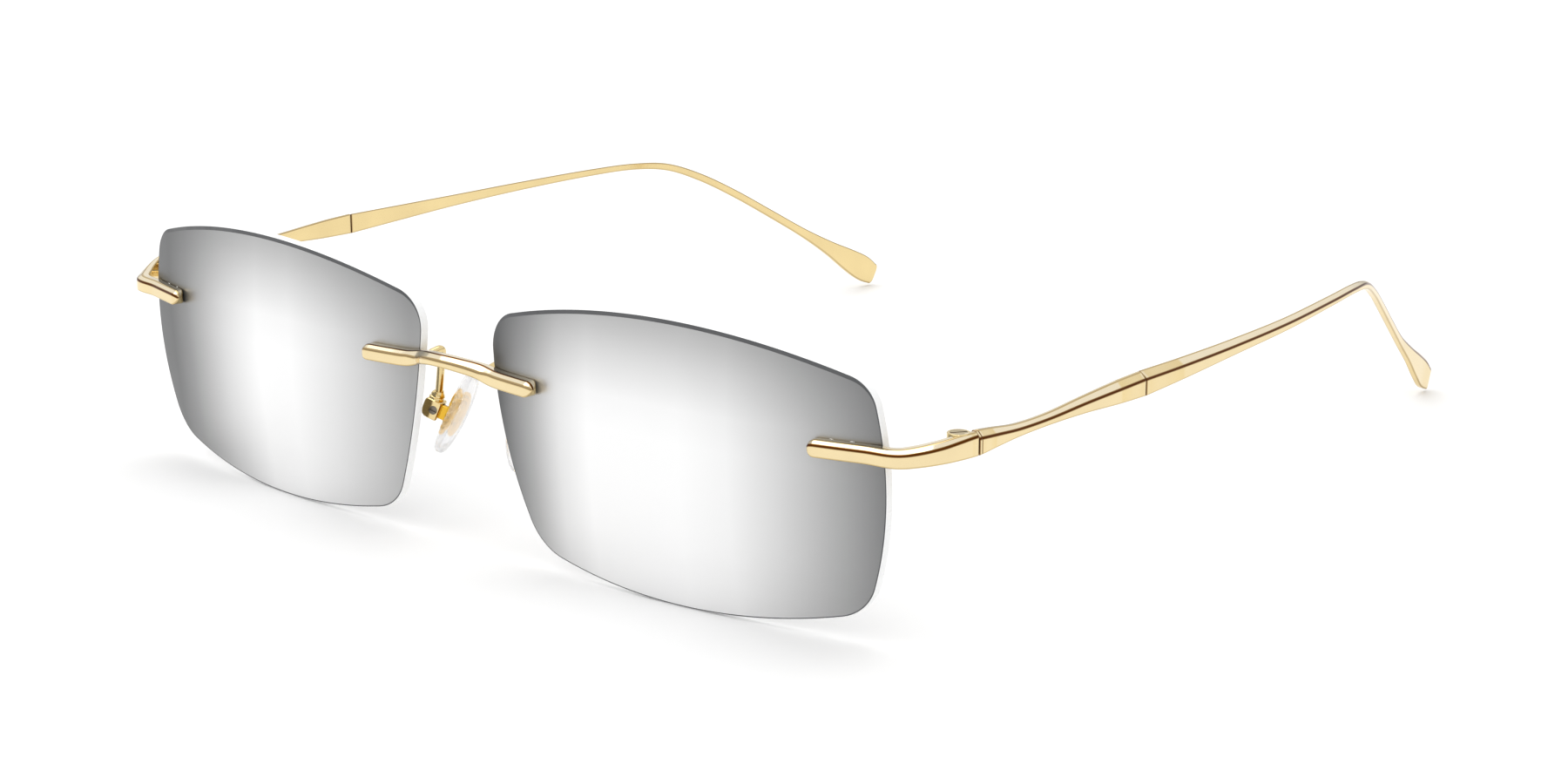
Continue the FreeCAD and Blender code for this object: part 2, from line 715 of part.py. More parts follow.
def build_temple_front(side, label):
    """Straight front length of the temple: hinge knuckle, waist, and a tenon behind."""
    body = new_body(f"temple_front_{label}")
    start = size("temple_start_y")
    end = size("joint_y")
    top = hinge_top()
    low = size("hinge_bottom")
    thickness = size("temple_thickness")
    inner_x = size("temple_outer_x") - thickness
    base = inner_x if side > 0 else -size("temple_outer_x")
    silhouette = outline(
        ((start, top), (13.5, 25.75), (18.5, 25.2), (24.0, 25.2), (31.0, 25.7), (38.0, 26.2), (end, 26.35)),
        ((end, 26.35), (end, 23.4)),
        ((end, 23.4), (38.0, 23.5), (31.0, 23.85), (24.0, 23.95), (18.5, 23.85), (13.5, 23.5),
         (start, low)),
        ((start, low), (start, top)))
    pad(body, "arm", new_sketch(body, "side_view", "YZ_Plane", silhouette, base), thickness,
        expression="sizes.temple_thickness")

    tenon_x = size("temple_outer_x") - thickness / 2
    half_x = size("tenon_thickness") / 2
    half_z = size("tenon_height") / 2
    centre_z = size("tenon_centre_z")
    low_x, high_x = sorted((side * (tenon_x - half_x), side * (tenon_x + half_x)))
    box_tool(body, "Additive", "tenon", (low_x, end - 0.5, centre_z - half_z),
             (high_x, end + size("tenon_length"), centre_z + half_z))

    axis_x = size("hinge_x")
    axis_y = size("hinge_y")
    level = low + size("knuckle_height") + size("knuckle_gap")
    height = size("middle_knuckle_height")
    knuckle = Placement(Vector(side * axis_x, axis_y, level), Rotation())
    round_tool(body, "Additive", "knuckle", size("knuckle_radius"), height, knuckle, "knuckle_radius")
    low_x, high_x = sorted((side * (axis_x - 0.1), side * (axis_x + 1.15)))
    box_tool(body, "Additive", "web", (low_x, axis_y, level), (high_x, start + 0.4, level + height))
    bore = Placement(Vector(side * axis_x, axis_y, level - 1), Rotation())
    round_tool(body, "Subtractive", "bore", size("hinge_bore_radius"), 4, bore, "hinge_bore_radius")
    return finish(body)


# Middle of the rear length: outwards, back, up, half its thickness, half its height.
REAR_PATH = (
    (71.25, 43.35, 24.875, 0.65, 1.475),
    (71.12, 52.0, 25.02, 0.62, 1.23),
    (70.7, 64.0, 25.28, 0.6, 0.9),
    (69.85, 78.0, 25.55, 0.57, 0.68),
    (68.0, 92.5, 25.8, 0.54, 0.55),
    (66.5, 100.5, 25.7, 0.52, 0.52),
    (64.8, 106.5, 24.9, 0.5, 0.56),
    (62.8, 112.2, 22.6, 0.48, 0.6),
    (60.7, 118.2, 19.25, 0.47, 0.62),
    (58.6, 124.8, 15.1, 0.46, 0.64),
    (56.7, 131.2, 11.0, 0.46, 0.75),
    (55.5, 136.4, 7.75, 0.46, 1.2),
    (54.6, 140.4, 5.2, 0.46, 1.85),
    (54.0, 143.0, 3.55, 0.46, 2.15),
    (53.7, 144.9, 2.35, 0.46, 1.9),
)


def edges_of_path(path, half_widths):
    """The two edges of a strip whose middle is the path, given half its width at each point."""
    edges = ([], [])
    for index, ((a, b), half) in enumerate(zip(path, half_widths)):
        before = path[max(index - 1, 0)]
        after = path[min(index + 1, len(path) - 1)]
        length = math.dist(before, after)
        turn_a = -(after[1] - before[1]) / length
        turn_b = (after[0] - before[0]) / length
        for edge, way in zip(edges, (half, -half)):
            edge.append((a + turn_a * way, b + turn_b * way))
    return edges


def build_temple_rear(side, label):
    """Rear length: tapers, bends down and in, and ends in a thin tip, tall like a leaf."""
    body = new_body(f"temple_rear_{label}")
    start = size("joint_y") + size("joint_gap")
    upper, lower = edges_of_path(
        [(y, z) for _, y, z, _, _ in REAR_PATH], [half for _, _, _, _, half in REAR_PATH])
    upper[0] = (start, upper[0][1])
    lower[0] = (start, lower[0][1])
    tip = (upper[-1], (146.9, 2.4), (146.95, 1.0), (145.95, 0.14), lower[-1])
    silhouette = outline(upper, tip, tuple(reversed(lower)), (lower[0], upper[0]))
    pad(body, "arm", new_sketch(body, "side_view", "YZ_Plane", silhouette, 0), 160, True)
    outer = size("temple_outer_x")
    inner = outer - size("temple_thickness")
    plan_path = [(x, y) for x, y, _, _, _ in REAR_PATH] + [(53.2, 148.0)]
    halves = [half for _, _, _, half, _ in REAR_PATH] + [REAR_PATH[-1][3]]
    inside, outside = edges_of_path(plan_path, halves)
    inside[0] = (inner, start)
    outside[0] = (outer, start)
    plan_stretches = (
        tuple(outside), (outside[-1], inside[-1]), tuple(reversed(inside)), (inside[0], outside[0]))
    window = outline(*[tuple((side * a, b) for a, b in stretch) for stretch in plan_stretches])
    around = rectangle(-90, 0, 90, 200)
    pocket_through(body, "plan_cut", new_sketch(body, "plan", "XY_Plane", around + window))

    slack = size("tenon_clearance")
    tenon_x = outer - size("temple_thickness") / 2
    half_x = size("tenon_thickness") / 2 + slack
    half_z = size("tenon_height") / 2 + slack
    centre_z = size("tenon_centre_z")
    low_x, high_x = sorted((side * (tenon_x - half_x), side * (tenon_x + half_x)))
    box_tool(body, "Subtractive", "socket", (low_x, start - 1, centre_z - half_z),
             (high_x, start + size("tenon_length"), centre_z + half_z))
    return finish(body)


# ---------------------------------------------------------------- assemble and write

nodes = []
bridge = build_bridge()
nodes.append(bridge)
for side, label in ((1, "left"), (-1, "right")):
    nodes.append(build_lens(side, label))
    nodes.append(build_plugs(side, label))
    nodes.append(build_endpiece(side, label))
    nodes.append(build_nose_pad(side, label))
    nodes.append(build_pad_insert(side, label))
    pad_box = build_pad_box(side, label)
    nodes.append(pad_box)
    nodes.append(build_pad_screw(side, label))
    nodes.append(build_pad_arm(side, label, bridge, pad_box))
    nodes.append(build_hinge_screw(side, label))
    nodes.append(build_hinge_washers(side, label))
    nodes.append(build_temple_front(side, label))
    nodes.append(build_temple_rear(side, label))

doc.recompute()
for item in doc.Objects:
    if "Invalid" in item.State or "Error" in item.State:
        raise RuntimeError(f"{item.Name} did not build: {item.State}")

os.makedirs("parts", exist_ok=True)
for node in nodes:
    shape = node.Shape
    if shape.isNull() or not shape.isValid():
        raise RuntimeError(f"{node.Label} has no valid shape")
    shape.exportStep(f"parts/{node.Label}.step")
    print(node.Label, len(shape.Solids), round(shape.Volume, 3), shape.BoundBox)
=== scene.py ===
import json
import math
import bmesh
import bpy
from mathutils import Matrix, Vector


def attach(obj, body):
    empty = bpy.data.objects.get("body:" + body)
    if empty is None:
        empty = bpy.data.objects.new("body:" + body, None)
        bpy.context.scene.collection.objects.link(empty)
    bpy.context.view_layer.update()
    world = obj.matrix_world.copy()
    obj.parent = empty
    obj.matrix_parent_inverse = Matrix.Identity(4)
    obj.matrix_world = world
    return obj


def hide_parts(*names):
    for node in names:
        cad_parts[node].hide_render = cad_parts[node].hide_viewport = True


# Rimless eyeglasses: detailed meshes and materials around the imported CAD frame.
# Lengths below are millimetres in the CAD's own layout, where y = 0 lies 3 mm behind the middle
# of each lens's front; to_scene() moves them to the frame's origin and turns them into metres.

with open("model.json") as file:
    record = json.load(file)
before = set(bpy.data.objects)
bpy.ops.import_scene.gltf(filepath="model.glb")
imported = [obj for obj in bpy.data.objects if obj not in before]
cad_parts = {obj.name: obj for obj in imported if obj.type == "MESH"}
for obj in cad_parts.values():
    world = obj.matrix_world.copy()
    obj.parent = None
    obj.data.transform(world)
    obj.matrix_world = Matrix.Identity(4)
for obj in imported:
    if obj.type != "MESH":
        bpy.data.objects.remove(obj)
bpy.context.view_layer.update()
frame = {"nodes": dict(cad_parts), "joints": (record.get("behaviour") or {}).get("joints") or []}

MM = 0.001
SIDES = (("left", 1), ("right", -1))
UP = Vector((0, 0, 1))
joints = {joint["name"]: joint for joint in frame["joints"]}

# hinge, placed by the frame's own joint
HINGE_Y = 8.6
hinge_spot = Vector(joints["temple_left_fold"]["pos_m"]) / MM
HINGE_X = hinge_spot.x
DEPTH_CENTRE = HINGE_Y - hinge_spot.y
HINGE_LOW = 23.25
HINGE_HIGH = 26.05
HINGE_MIDDLE = (HINGE_LOW + HINGE_HIGH) / 2
KNUCKLE_RADIUS = 1.35
KNUCKLE_HEIGHT = 0.8
KNUCKLE_GAP = 0.15
HINGE_BORE = 0.65
HINGE_HEAD = 1.03
HEAD_DEPTH = 0.3

# lenses
LENS_CENTRE = Vector((35.4, -3.0, 17.935))
LENS_RADIUS = 135.0
LENS_THICKNESS = 1.1
LENS_WRAP = math.radians(4.4)
LENS_TILT = math.radians(3.45)
LENS_BEVEL = 0.12
# width of the painted shade line inside the edge, at the top of the lens and at its sides and
# bottom
PAINTED_SHADE_TOP = 0.5
PAINTED_SHADE_SIDE = 0.14
LENS_RINGS = 24
CORNER_ARC_STEPS = 18
SIDE_ARC_STEPS = 46
# corner (outwards from the lens centre, height), bulge of the arc to the next corner, round
LENS_CORNERS = (
    ((-29.15, 13.25), 4.45, 5.0),
    ((27.7, 13.65), 2.55, 4.8),
    ((26.4, -14.4), 3.2, 6.4),
    ((-22.25, -15.25), 1.6, 7.0),
)

# mounts on the lenses
MOUNT_OFFSET = 24.2
MOUNT_RISE = 6.0
PIN_SPACING = 2.6
PIN_RADIUS = 0.5
PIN_LENGTH = 2.1
LENS_HOLE = 0.76
BAR_GAP = 0.02
PIN_SPOTS = (-PIN_SPACING / 2, PIN_SPACING / 2)


def to_scene(point):
    """Point of the CAD's layout in the frame's metres."""
    return Vector((point[0], point[1] - DEPTH_CENTRE, point[2])) * MM


# ---------------------------------------------------------------- materials

def new_material(name):
    """Node material; returns it with its node tree and shader."""
    material = bpy.data.materials.new(name)
    material.use_nodes = True
    tree = material.node_tree
    return material, tree, tree.nodes["Principled BSDF"]


def linear(red, green, blue):
    """Screen colour, 0 to 255, as the linear colour that shaders use."""
    channels = []
    for value in (red, green, blue):
        share = value / 255
        channels.append(share / 12.92 if share <= 0.04045 else ((share + 0.055) / 1.055) ** 2.4)
    return (*channels, 1.0)


def object_noise(tree, scale, detail, stretch=(1, 1, 1)):
    """Noise in the object's own metres; stretch draws it out into streaks."""
    place = tree.nodes.new("ShaderNodeTexCoord")
    mapping = tree.nodes.new("ShaderNodeMapping")
    mapping.inputs["Scale"].default_value = stretch
    noise = tree.nodes.new("ShaderNodeTexNoise")
    noise.inputs["Scale"].default_value = scale
    noise.inputs["Detail"].default_value = detail
    tree.links.new(place.outputs["Object"], mapping.inputs["Vector"])
    tree.links.new(mapping.outputs["Vector"], noise.inputs["Vector"])
    return noise.outputs["Fac"]


def remap(tree, value, low, high, from_low=0.3, from_high=0.7):
    """The value's stretch from from_low to from_high, spread out from low to high."""
    node = tree.nodes.new("ShaderNodeMapRange")
    node.inputs["From Min"].default_value = from_low
    node.inputs["From Max"].default_value = from_high
    node.inputs["To Min"].default_value = low
    node.inputs["To Max"].default_value = high
    tree.links.new(value, node.inputs["Value"])
    return node.outputs["Result"]


def mix_colour(tree, share, first, second):
    """Mix of two colours; each is a fixed colour or another node's output."""
    node = tree.nodes.new("ShaderNodeMix")
    node.data_type = "RGBA"
    for socket, colour in ((node.inputs[6], first), (node.inputs[7], second)):
        if isinstance(colour, bpy.types.NodeSocket):
            tree.links.new(colour, socket)
        else:
            socket.default_value = colour
    tree.links.new(share, node.inputs[0])
    return node.outputs[2]


# depth of every bump, in metres
BUMP_DISTANCE = 0.00002


def add_bump(tree, shader, height, strength):
    """Fine relief from a height value."""
    bump = tree.nodes.new("ShaderNodeBump")
    bump.inputs["Strength"].default_value = strength
    bump.inputs["Distance"].default_value = BUMP_DISTANCE
    tree.links.new(height, bump.inputs["Height"])
    tree.links.new(bump.outputs["Normal"], shader.inputs["Normal"])


# pale tone of the painted highlight on the plating's facets
PAINTED_HIGHLIGHT_GOLD = linear(253, 248, 236)


def plated_metal(name, colour, deep, roughness, streak_strength=0.02):
    """Polished plating with slight colour drift and fine polishing streaks.

    Where the painted light attribute is above 0 it darkens the colour towards deep, a painted
    reflection line; where it is below 0 it pales it, a painted highlight.
    """
    material, tree, shader = new_material(name)
    # the colour drifts at random a little towards deep, which is also the colour of the painted
    # reflection lines
    drift = remap(tree, object_noise(tree, 160, 2), 0.0, 0.07)
    body = mix_colour(tree, drift, colour, deep)
    # painted light: dark reflection lines along the bar's edges and pale highlights on its facets
    painted_light = tree.nodes.new("ShaderNodeAttribute")
    painted_light.attribute_name = "painted_light"
    painted_highlight = remap(tree, painted_light.outputs["Fac"], 0.0, 1.0, 0.0, -1.0)
    painted_reflection_lines = remap(tree, painted_light.outputs["Fac"], 0.0, 1.0, 0.0, 1.0)
    with_painted_light = mix_colour(tree, painted_reflection_lines, mix_colour(tree, painted_highlight, body, PAINTED_HIGHLIGHT_GOLD), deep)
    tree.links.new(with_painted_light, shader.inputs["Base Color"])
    shader.inputs["Metallic"].default_value = 1.0
    wear = object_noise(tree, 900, 4)
    tree.links.new(remap(tree, wear, roughness * 0.8, roughness * 1.3), shader.inputs["Roughness"])
    streaks = object_noise(tree, 500, 4, (6, 1, 6))
    add_bump(tree, shader, streaks, streak_strength)
    return material


# the second colour is the deep tone: the random drift runs towards it, and painted reflection lines
# are drawn in it
gold = plated_metal("champagne_gold", linear(234, 211, 156), linear(96, 50, 8), 0.1)
deep_gold = plated_metal("rich_gold", linear(230, 182, 62), linear(138, 86, 12), 0.16)
screw_steel = plated_metal("screw_steel", linear(132, 124, 112), linear(44, 36, 26), 0.3, 0.08)
screw_gold = plated_metal("screw_gold", linear(196, 178, 136), linear(96, 72, 34), 0.2, 0.08)


# linear brightness of the lens where its painted reflection is darkest
PAINTED_REFLECTION_FLOOR = 0.17
# painted reflection greys from the nose outwards: (distance from the lens centre in mm, grey)
PAINTED_REFLECTION_ACROSS = {
    "left": ((-28, 118), (-22, 184), (-17, 234), (-12, 254), (2, 254), (9, 246), (15, 223),
             (22, 188), (29, 143)),
    "right": ((-27, 178), (-20, 211), (-13, 234), (-5, 253), (2, 254), (6, 240), (10, 222),
              (15, 192), (20, 157), (25, 124)),
}
# painted reflection greys from the table up: (share of the height, grey)
PAINTED_REFLECTION_RISE = ((0, 246), (0.06, 250), (0.12, 253), (0.22, 255), (0.58, 255), (0.7, 249),
               (0.84, 222), (0.93, 200), (1.0, 184))
# half the width of the painted reflection in mm, and its height in metres
PAINTED_REFLECTION_REACH = 30
PAINTED_REFLECTION_TOP = 0.036


def painted_reflection_share(grey):
    """How much of the bright painted reflection the across ramp mixes in for a screen grey."""
    return max(0.0, (linear(grey, grey, grey)[0] - PAINTED_REFLECTION_FLOOR) / (1 - PAINTED_REFLECTION_FLOOR))


def lens_mirror(side, label):
    """Silver mirror coat with its reflection painted in: darker grey towards the lens's sides
    and top, with different greys on each lens.
    """
    material, tree, shader = new_material(f"lens_mirror_{label}")
    place = tree.nodes.new("ShaderNodeTexCoord")
    axes = tree.nodes.new("ShaderNodeSeparateXYZ")
    tree.links.new(place.outputs["Object"], axes.inputs["Vector"])
    edges = sorted(side * (LENS_CENTRE.x + reach) * MM for reach in (-PAINTED_REFLECTION_REACH, PAINTED_REFLECTION_REACH))
    share = remap(tree, axes.outputs["X"], 0, 1, *edges)
    ramp = tree.nodes.new("ShaderNodeValToRGB")
    stops = sorted(((side * spot + PAINTED_REFLECTION_REACH) / (2 * PAINTED_REFLECTION_REACH), grey)
                   for spot, grey in PAINTED_REFLECTION_ACROSS[label])
    set_ramp(ramp, [(spot, painted_reflection_share(grey)) for spot, grey in stops], False)
    tree.links.new(share, ramp.inputs["Fac"])
    rise = tree.nodes.new("ShaderNodeValToRGB")
    height = remap(tree, axes.outputs["Z"], 0, 1, 0, PAINTED_REFLECTION_TOP)
    set_ramp(rise, PAINTED_REFLECTION_RISE, True)
    tree.links.new(height, rise.inputs["Fac"])
    # dark grey of the painted reflection towards the lens's sides
    painted_reflection_dark = mix_colour(tree, object_noise(tree, 30, 2), linear(88, 89, 90), linear(98, 99, 100))
    tree.links.new(mix_colour(tree, ramp.outputs["Color"], painted_reflection_dark, rise.outputs["Color"]),
                   shader.inputs["Base Color"])
    shader.inputs["Metallic"].default_value = 0.75
    haze = object_noise(tree, 60, 3)
    tree.links.new(remap(tree, haze, 0.30, 0.38), shader.inputs["Roughness"])
    shader.inputs["Coat Weight"].default_value = 0.08
    shader.inputs["Coat Roughness"].default_value = 0.08
    see_through(material, shader, 0.06)
    return material


def see_through(material, shader, share):
    """Let this share of the light pass straight through."""
    tree = material.node_tree
    clear = tree.nodes.new("ShaderNodeBsdfTransparent")
    blend = tree.nodes.new("ShaderNodeMixShader")
    blend.inputs[0].default_value = share
    tree.links.new(shader.outputs["BSDF"], blend.inputs[1])
    tree.links.new(clear.outputs["BSDF"], blend.inputs[2])
    tree.links.new(blend.outputs["Shader"], tree.nodes["Material Output"].inputs["Surface"])


def set_ramp(ramp, stops, screen):
    """Fill a colour ramp; values are plain shares, or screen greys when screen is true."""
    elements = ramp.color_ramp.elements
    while len(elements) < len(stops):
        elements.new(0.5)
    for element, (spot, value) in zip(elements, stops):
        element.position = spot
        element.color = linear(value, value, value) if screen else (value, value, value, 1)


def plain_gloss(name, first, second, roughness, scale, metallic=0.0, bump=0.05):
    """Glossy stuff whose colour drifts a little between two tones."""
    material, tree, shader = new_material(name)
    tone = object_noise(tree, scale, 3)
    tree.links.new(mix_colour(tree, tone, first, second), shader.inputs["Base Color"])
    tree.links.new(remap(tree, object_noise(tree, scale * 4, 3), roughness * 0.8, roughness * 1.3),
                   shader.inputs["Roughness"])
    shader.inputs["Metallic"].default_value = metallic
    add_bump(tree, shader, object_noise(tree, scale * 8, 3), bump)
    return material, shader


lens_edge, _ = plain_gloss("lens_edge", linear(246, 247, 247), linear(252, 252, 252), 0.3, 300)
# dark grey of the painted shade line inside the lens's edge
lens_painted_shade, _ = plain_gloss("lens_painted_shade", linear(70, 71, 73), linear(92, 93, 95), 0.4, 200)
lens_back, _ = plain_gloss("lens_back", linear(150, 151, 152), linear(164, 165, 166), 0.16, 40,
                           metallic=0.7, bump=0.01)
silicone, silicone_shader = plain_gloss(
    "clear_silicone", linear(247, 247, 250), linear(252, 252, 253), 0.1, 300, bump=0.1)
silicone_shader.inputs["Transmission Weight"].default_value = 0.8
silicone_shader.inputs["IOR"].default_value = 1.41
see_through(silicone, silicone_shader, 0.4)
clear_plug, plug_shader = plain_gloss(
    "clear_plug", linear(236, 238, 238), linear(246, 247, 247), 0.12, 400)
plug_shader.inputs["Transmission Weight"].default_value = 0.9
plug_shader.inputs["IOR"].default_value = 1.49
nylon, _ = plain_gloss("washer_nylon", linear(206, 200, 186), linear(222, 217, 204), 0.45, 900)


def dress(piece, material, body, slot, *nodes):
    """Give a piece its material, the body it rides on and the CAD nodes it replaces; slot is not
    used.

    With no material the piece keeps the ones it has.
    """
    if material:
        piece.data.materials.clear()
        piece.data.materials.append(material)
    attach(piece, body)
    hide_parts(*nodes)


# ---------------------------------------------------------------- mesh building

def new_piece(name, points, faces, painted_marks=None):
    """Mesh object from points in CAD millimetres, with outward faces and smooth shading."""
    mesh = bpy.data.meshes.new(name)
    mesh.from_pydata([to_scene(point) for point in points], [], faces)
    # painted light of each point: dark reflection lines, pale highlights and rings of shade
    if painted_marks:
        painted_light = mesh.attributes.new("painted_light", "FLOAT", "POINT")
        painted_light.data.foreach_set("value", painted_marks)
    shape = bmesh.new()
    shape.from_mesh(mesh)
    bmesh.ops.recalc_face_normals(shape, faces=shape.faces)
    shape.to_mesh(mesh)
    shape.free()
    piece = bpy.data.objects.new(name, mesh)
    bpy.context.scene.collection.objects.link(piece)
    shade_smooth(piece)
    return piece


SHARP_ANGLE = math.radians(40)


def shade_smooth(piece):
    """Smooth faces, with the edges that turn more than SHARP_ANGLE kept sharp."""
    shape = bmesh.new()
    shape.from_mesh(piece.data)
    for face in shape.faces:
        face.smooth = True
    for edge in shape.edges:
        edge.smooth = len(edge.link_faces) == 2 and edge.calc_face_angle(0) < SHARP_ANGLE
    shape.to_mesh(piece.data)
    shape.free()


def join_rings(ring_count, ring_size):
    """Faces between closed rings of points."""
    faces = []
    for ring in range(ring_count - 1):
        for spot in range(ring_size):
            after = (spot + 1) % ring_size
            low = ring * ring_size
            high = low + ring_size
            faces.append((low + spot, low + after, high + after, high + spot))
    return faces


def loft(name, rings, painted_marks=None):
    """Closed skin over rings of points, with a fan of triangles over each end."""
    size = len(rings[0])
    points = [point for ring in rings for point in ring]
    faces = join_rings(len(rings), size)
    values = [value for ring in painted_marks for value in ring] if painted_marks else None
    for ring, base in ((rings[0], 0), (rings[-1], size * (len(rings) - 1))):
        middle = sum(ring, Vector()) / size
        points.append(middle)
        centre = len(points) - 1
        if values:
            values.append(0.0)
        faces += [(base + spot, base + (spot + 1) % size, centre) for spot in range(size)]
    return new_piece(name, points, faces, values)


def join(name, pieces):
    """One object from several."""
    mesh = bmesh.new()
    for piece in pieces:
        mesh.from_mesh(piece.data)
    mesh.to_mesh(pieces[0].data)
    mesh.free()
    for other in pieces[1:]:
        bpy.data.objects.remove(other)
    pieces[0].name = name
    return pieces[0]


def cut(piece, cutters, operation="DIFFERENCE"):
    """Boolean of the piece with each cutter, made real; the cutters are removed."""
    for cutter in cutters:
        boolean = piece.modifiers.new("cut", "BOOLEAN")
        boolean.operation = operation
        boolean.solver = "EXACT"
        boolean.object = cutter
    bpy.context.view_layer.update()
    evaluated = piece.evaluated_get(bpy.context.evaluated_depsgraph_get())
    result = bpy.data.meshes.new_from_object(evaluated)
    piece.modifiers.clear()
    piece.data = result
    for cutter in cutters:
        bpy.data.objects.remove(cutter)
    shade_smooth(piece)
    return piece


def circle_ring(centre, x_axis, y_axis, radius, count):
    """Points round a circle in the plane of the two axes."""
    ring = []
    for step in range(count):
        turn = 2 * math.pi * step / count
        ring.append(centre + x_axis * radius * math.cos(turn) + y_axis * radius * math.sin(turn))
    return ring


# no ring of a turned piece shrinks to less than this
LEAST_RADIUS = 0.001


def lathe(name, centre, axis, profile, count=48):
    """Turned piece: profile is (distance along the axis, radius) from one end to the other."""
    x_axis = axis.orthogonal().normalized()
    y_axis = axis.cross(x_axis)
    rings = [circle_ring(centre + axis * along, x_axis, y_axis, max(radius, LEAST_RADIUS), count)
             for along, radius in profile]
    return loft(name, rings)


def rod(name, start, end, radius, count=32):
    """Round bar with flat ends."""
    axis = (end - start).normalized()
    return lathe(name, start, axis, ((0, radius), ((end - start).length, radius)), count)


def prism(name, outline, origin, axes, low, high, bevel=0.0):
    """Outline in the plane of axes[0] and axes[1], pushed along axes[2] from low to high."""
    centre = sum((Vector(point) for point in outline), Vector((0, 0))) / len(outline)
    levels = [(low, bevel), (low + bevel, 0), (high - bevel, 0), (high, bevel)]
    if not bevel:
        levels = [(low, 0), (high, 0)]
    rings = []
    for level, inset in levels:
        ring = []
        for point in outline:
            offset = Vector(point) - centre
            spot = centre + offset * (1 - inset / offset.length)
            ring.append(origin + axes[0] * spot.x + axes[1] * spot.y + axes[2] * level)
        rings.append(ring)
    return loft(name, rings)


# ---------------------------------------------------------------- curves and sections

def smooth(stations, spacing):
    """Stations about spacing apart on a smooth curve through the given ones.

    The first three numbers of a station are its place; all of them are interpolated.
    """
    knots = [0.0]
    for before, after in zip(stations, stations[1:]):
        knots.append(knots[-1] + math.dist(before[:3], after[:3]))
    last = len(stations) - 1
    slopes = []
    for index in range(len(stations)):
        low = max(index - 1, 0)
        high = min(index + 1, last)
        span = knots[high] - knots[low]
        slopes.append([(b - a) / span for a, b in zip(stations[low], stations[high])])
    result = []
    for index in range(last):
        span = knots[index + 1] - knots[index]
        steps = max(2, round(span / spacing))
        for step in range(steps):
            t = step / steps
            near = 2 * t ** 3 - 3 * t ** 2 + 1
            far = 3 * t ** 2 - 2 * t ** 3
            leave = (t ** 3 - 2 * t ** 2 + t) * span
            arrive = (t ** 3 - t ** 2) * span
            result.append(tuple(
                near * a + far * b + leave * slope_a + arrive * slope_b
                for a, b, slope_a, slope_b in zip(
                    stations[index], stations[index + 1], slopes[index], slopes[index + 1])))
    result.append(tuple(stations[-1]))
    return result


TIP_STEPS = 10
# share of a bar's depth that is left at the very end of its tip
TIP_DEPTH = 0.12


def round_tip(path, radius):
    """The same path, its last stretch closed down to a rounded tip."""
    end = Vector(path[-1][:3])
    kept = [station for station in path if (Vector(station[:3]) - end).length > radius]
    inner = Vector(kept[-1][:3])
    template = kept[-1][3:]
    along = (end - inner).normalized()
    for step in range(TIP_STEPS):
        angle = math.radians(90 / (TIP_STEPS - 1) * step)
        place = end - along * radius * (1 - math.sin(angle))
        height = math.cos(angle)
        depth = TIP_DEPTH + (1 - TIP_DEPTH) * height
        kept.append((*place, template[0] * depth, template[1] * height,
                     template[2] * depth, template[3] * height, template[4]))
    return kept


CORNER_STEPS = (0.0, 0.25, 0.5, 0.75, 1.0)
# share of a corner's painted reflection line at each step across its rounding
CORNER_PAINTED_DARK = (0.5, 1.0, 1.0, 1.0, 0.5)
# a rounding takes no more than this share of a side
CORNER_SHARE = 0.45
# how far past a rounding the painted highlight of the side begins, as a share of the rounding
PAINTED_HIGHLIGHT_START = 0.12


def rounded_polygon(corners):
    """Points round a polygon, each with its painted light value.

    Each corner is (a, b, reach of its rounding, how dark the painted reflection line on it is,
    how pale the painted highlight on the side after it is).
    """
    ring = []
    count = len(corners)
    for index, (a, b, reach, painted_dark, painted_pale) in enumerate(corners):
        here = Vector((a, b))
        before = Vector(corners[index - 1][:2]) - here
        after = Vector(corners[(index + 1) % count][:2]) - here
        start = here + before.normalized() * min(reach, before.length * CORNER_SHARE)
        end = here + after.normalized() * min(reach, after.length * CORNER_SHARE)
        ring.append((*(start + (start - here) * PAINTED_HIGHLIGHT_START), -corners[index - 1][4]))
        for t, painted_mark in zip(CORNER_STEPS, CORNER_PAINTED_DARK):
            spot = start * (1 - t) ** 2 + here * 2 * t * (1 - t) + end * t ** 2
            ring.append((*spot, painted_mark * painted_dark))
        ring.append((*(end + (end - here) * PAINTED_HIGHLIGHT_START), -painted_pale))
    return ring


# how dark the painted reflection lines are on a bar's two front edges: below its facet and above it
TEMPLE_PAINTED_LINES = (1.0, 0.4)
BRIDGE_PAINTED_LINES = (0.55, 1.0)


# a facet takes no more than this share of half the bar's width, so some of its top is left
WIDEST_FACET = 1.8


def bar_section(half_u, half_v, chamfer_u, chamfer_v, painted_lines):
    """Flat outer face, a sloping facet above it and a narrow top; u points outwards."""
    chamfer_u = min(chamfer_u, WIDEST_FACET * half_u)
    # last two numbers of a corner: its painted reflection line and the painted highlight on the
    # side after it
    return rounded_polygon((
        (half_u, -half_v, 0.2, 0.3, 0.15),
        (half_u, half_v - chamfer_v, 0.22, painted_lines[0], 0.45),
        (half_u - chamfer_u, half_v, 0.16, painted_lines[1], 0.5),
        (-half_u, half_v, 0.16, 0.4, 0.0),
        (-half_u, -half_v, 0.25, 0.3, 0.0),
    ))


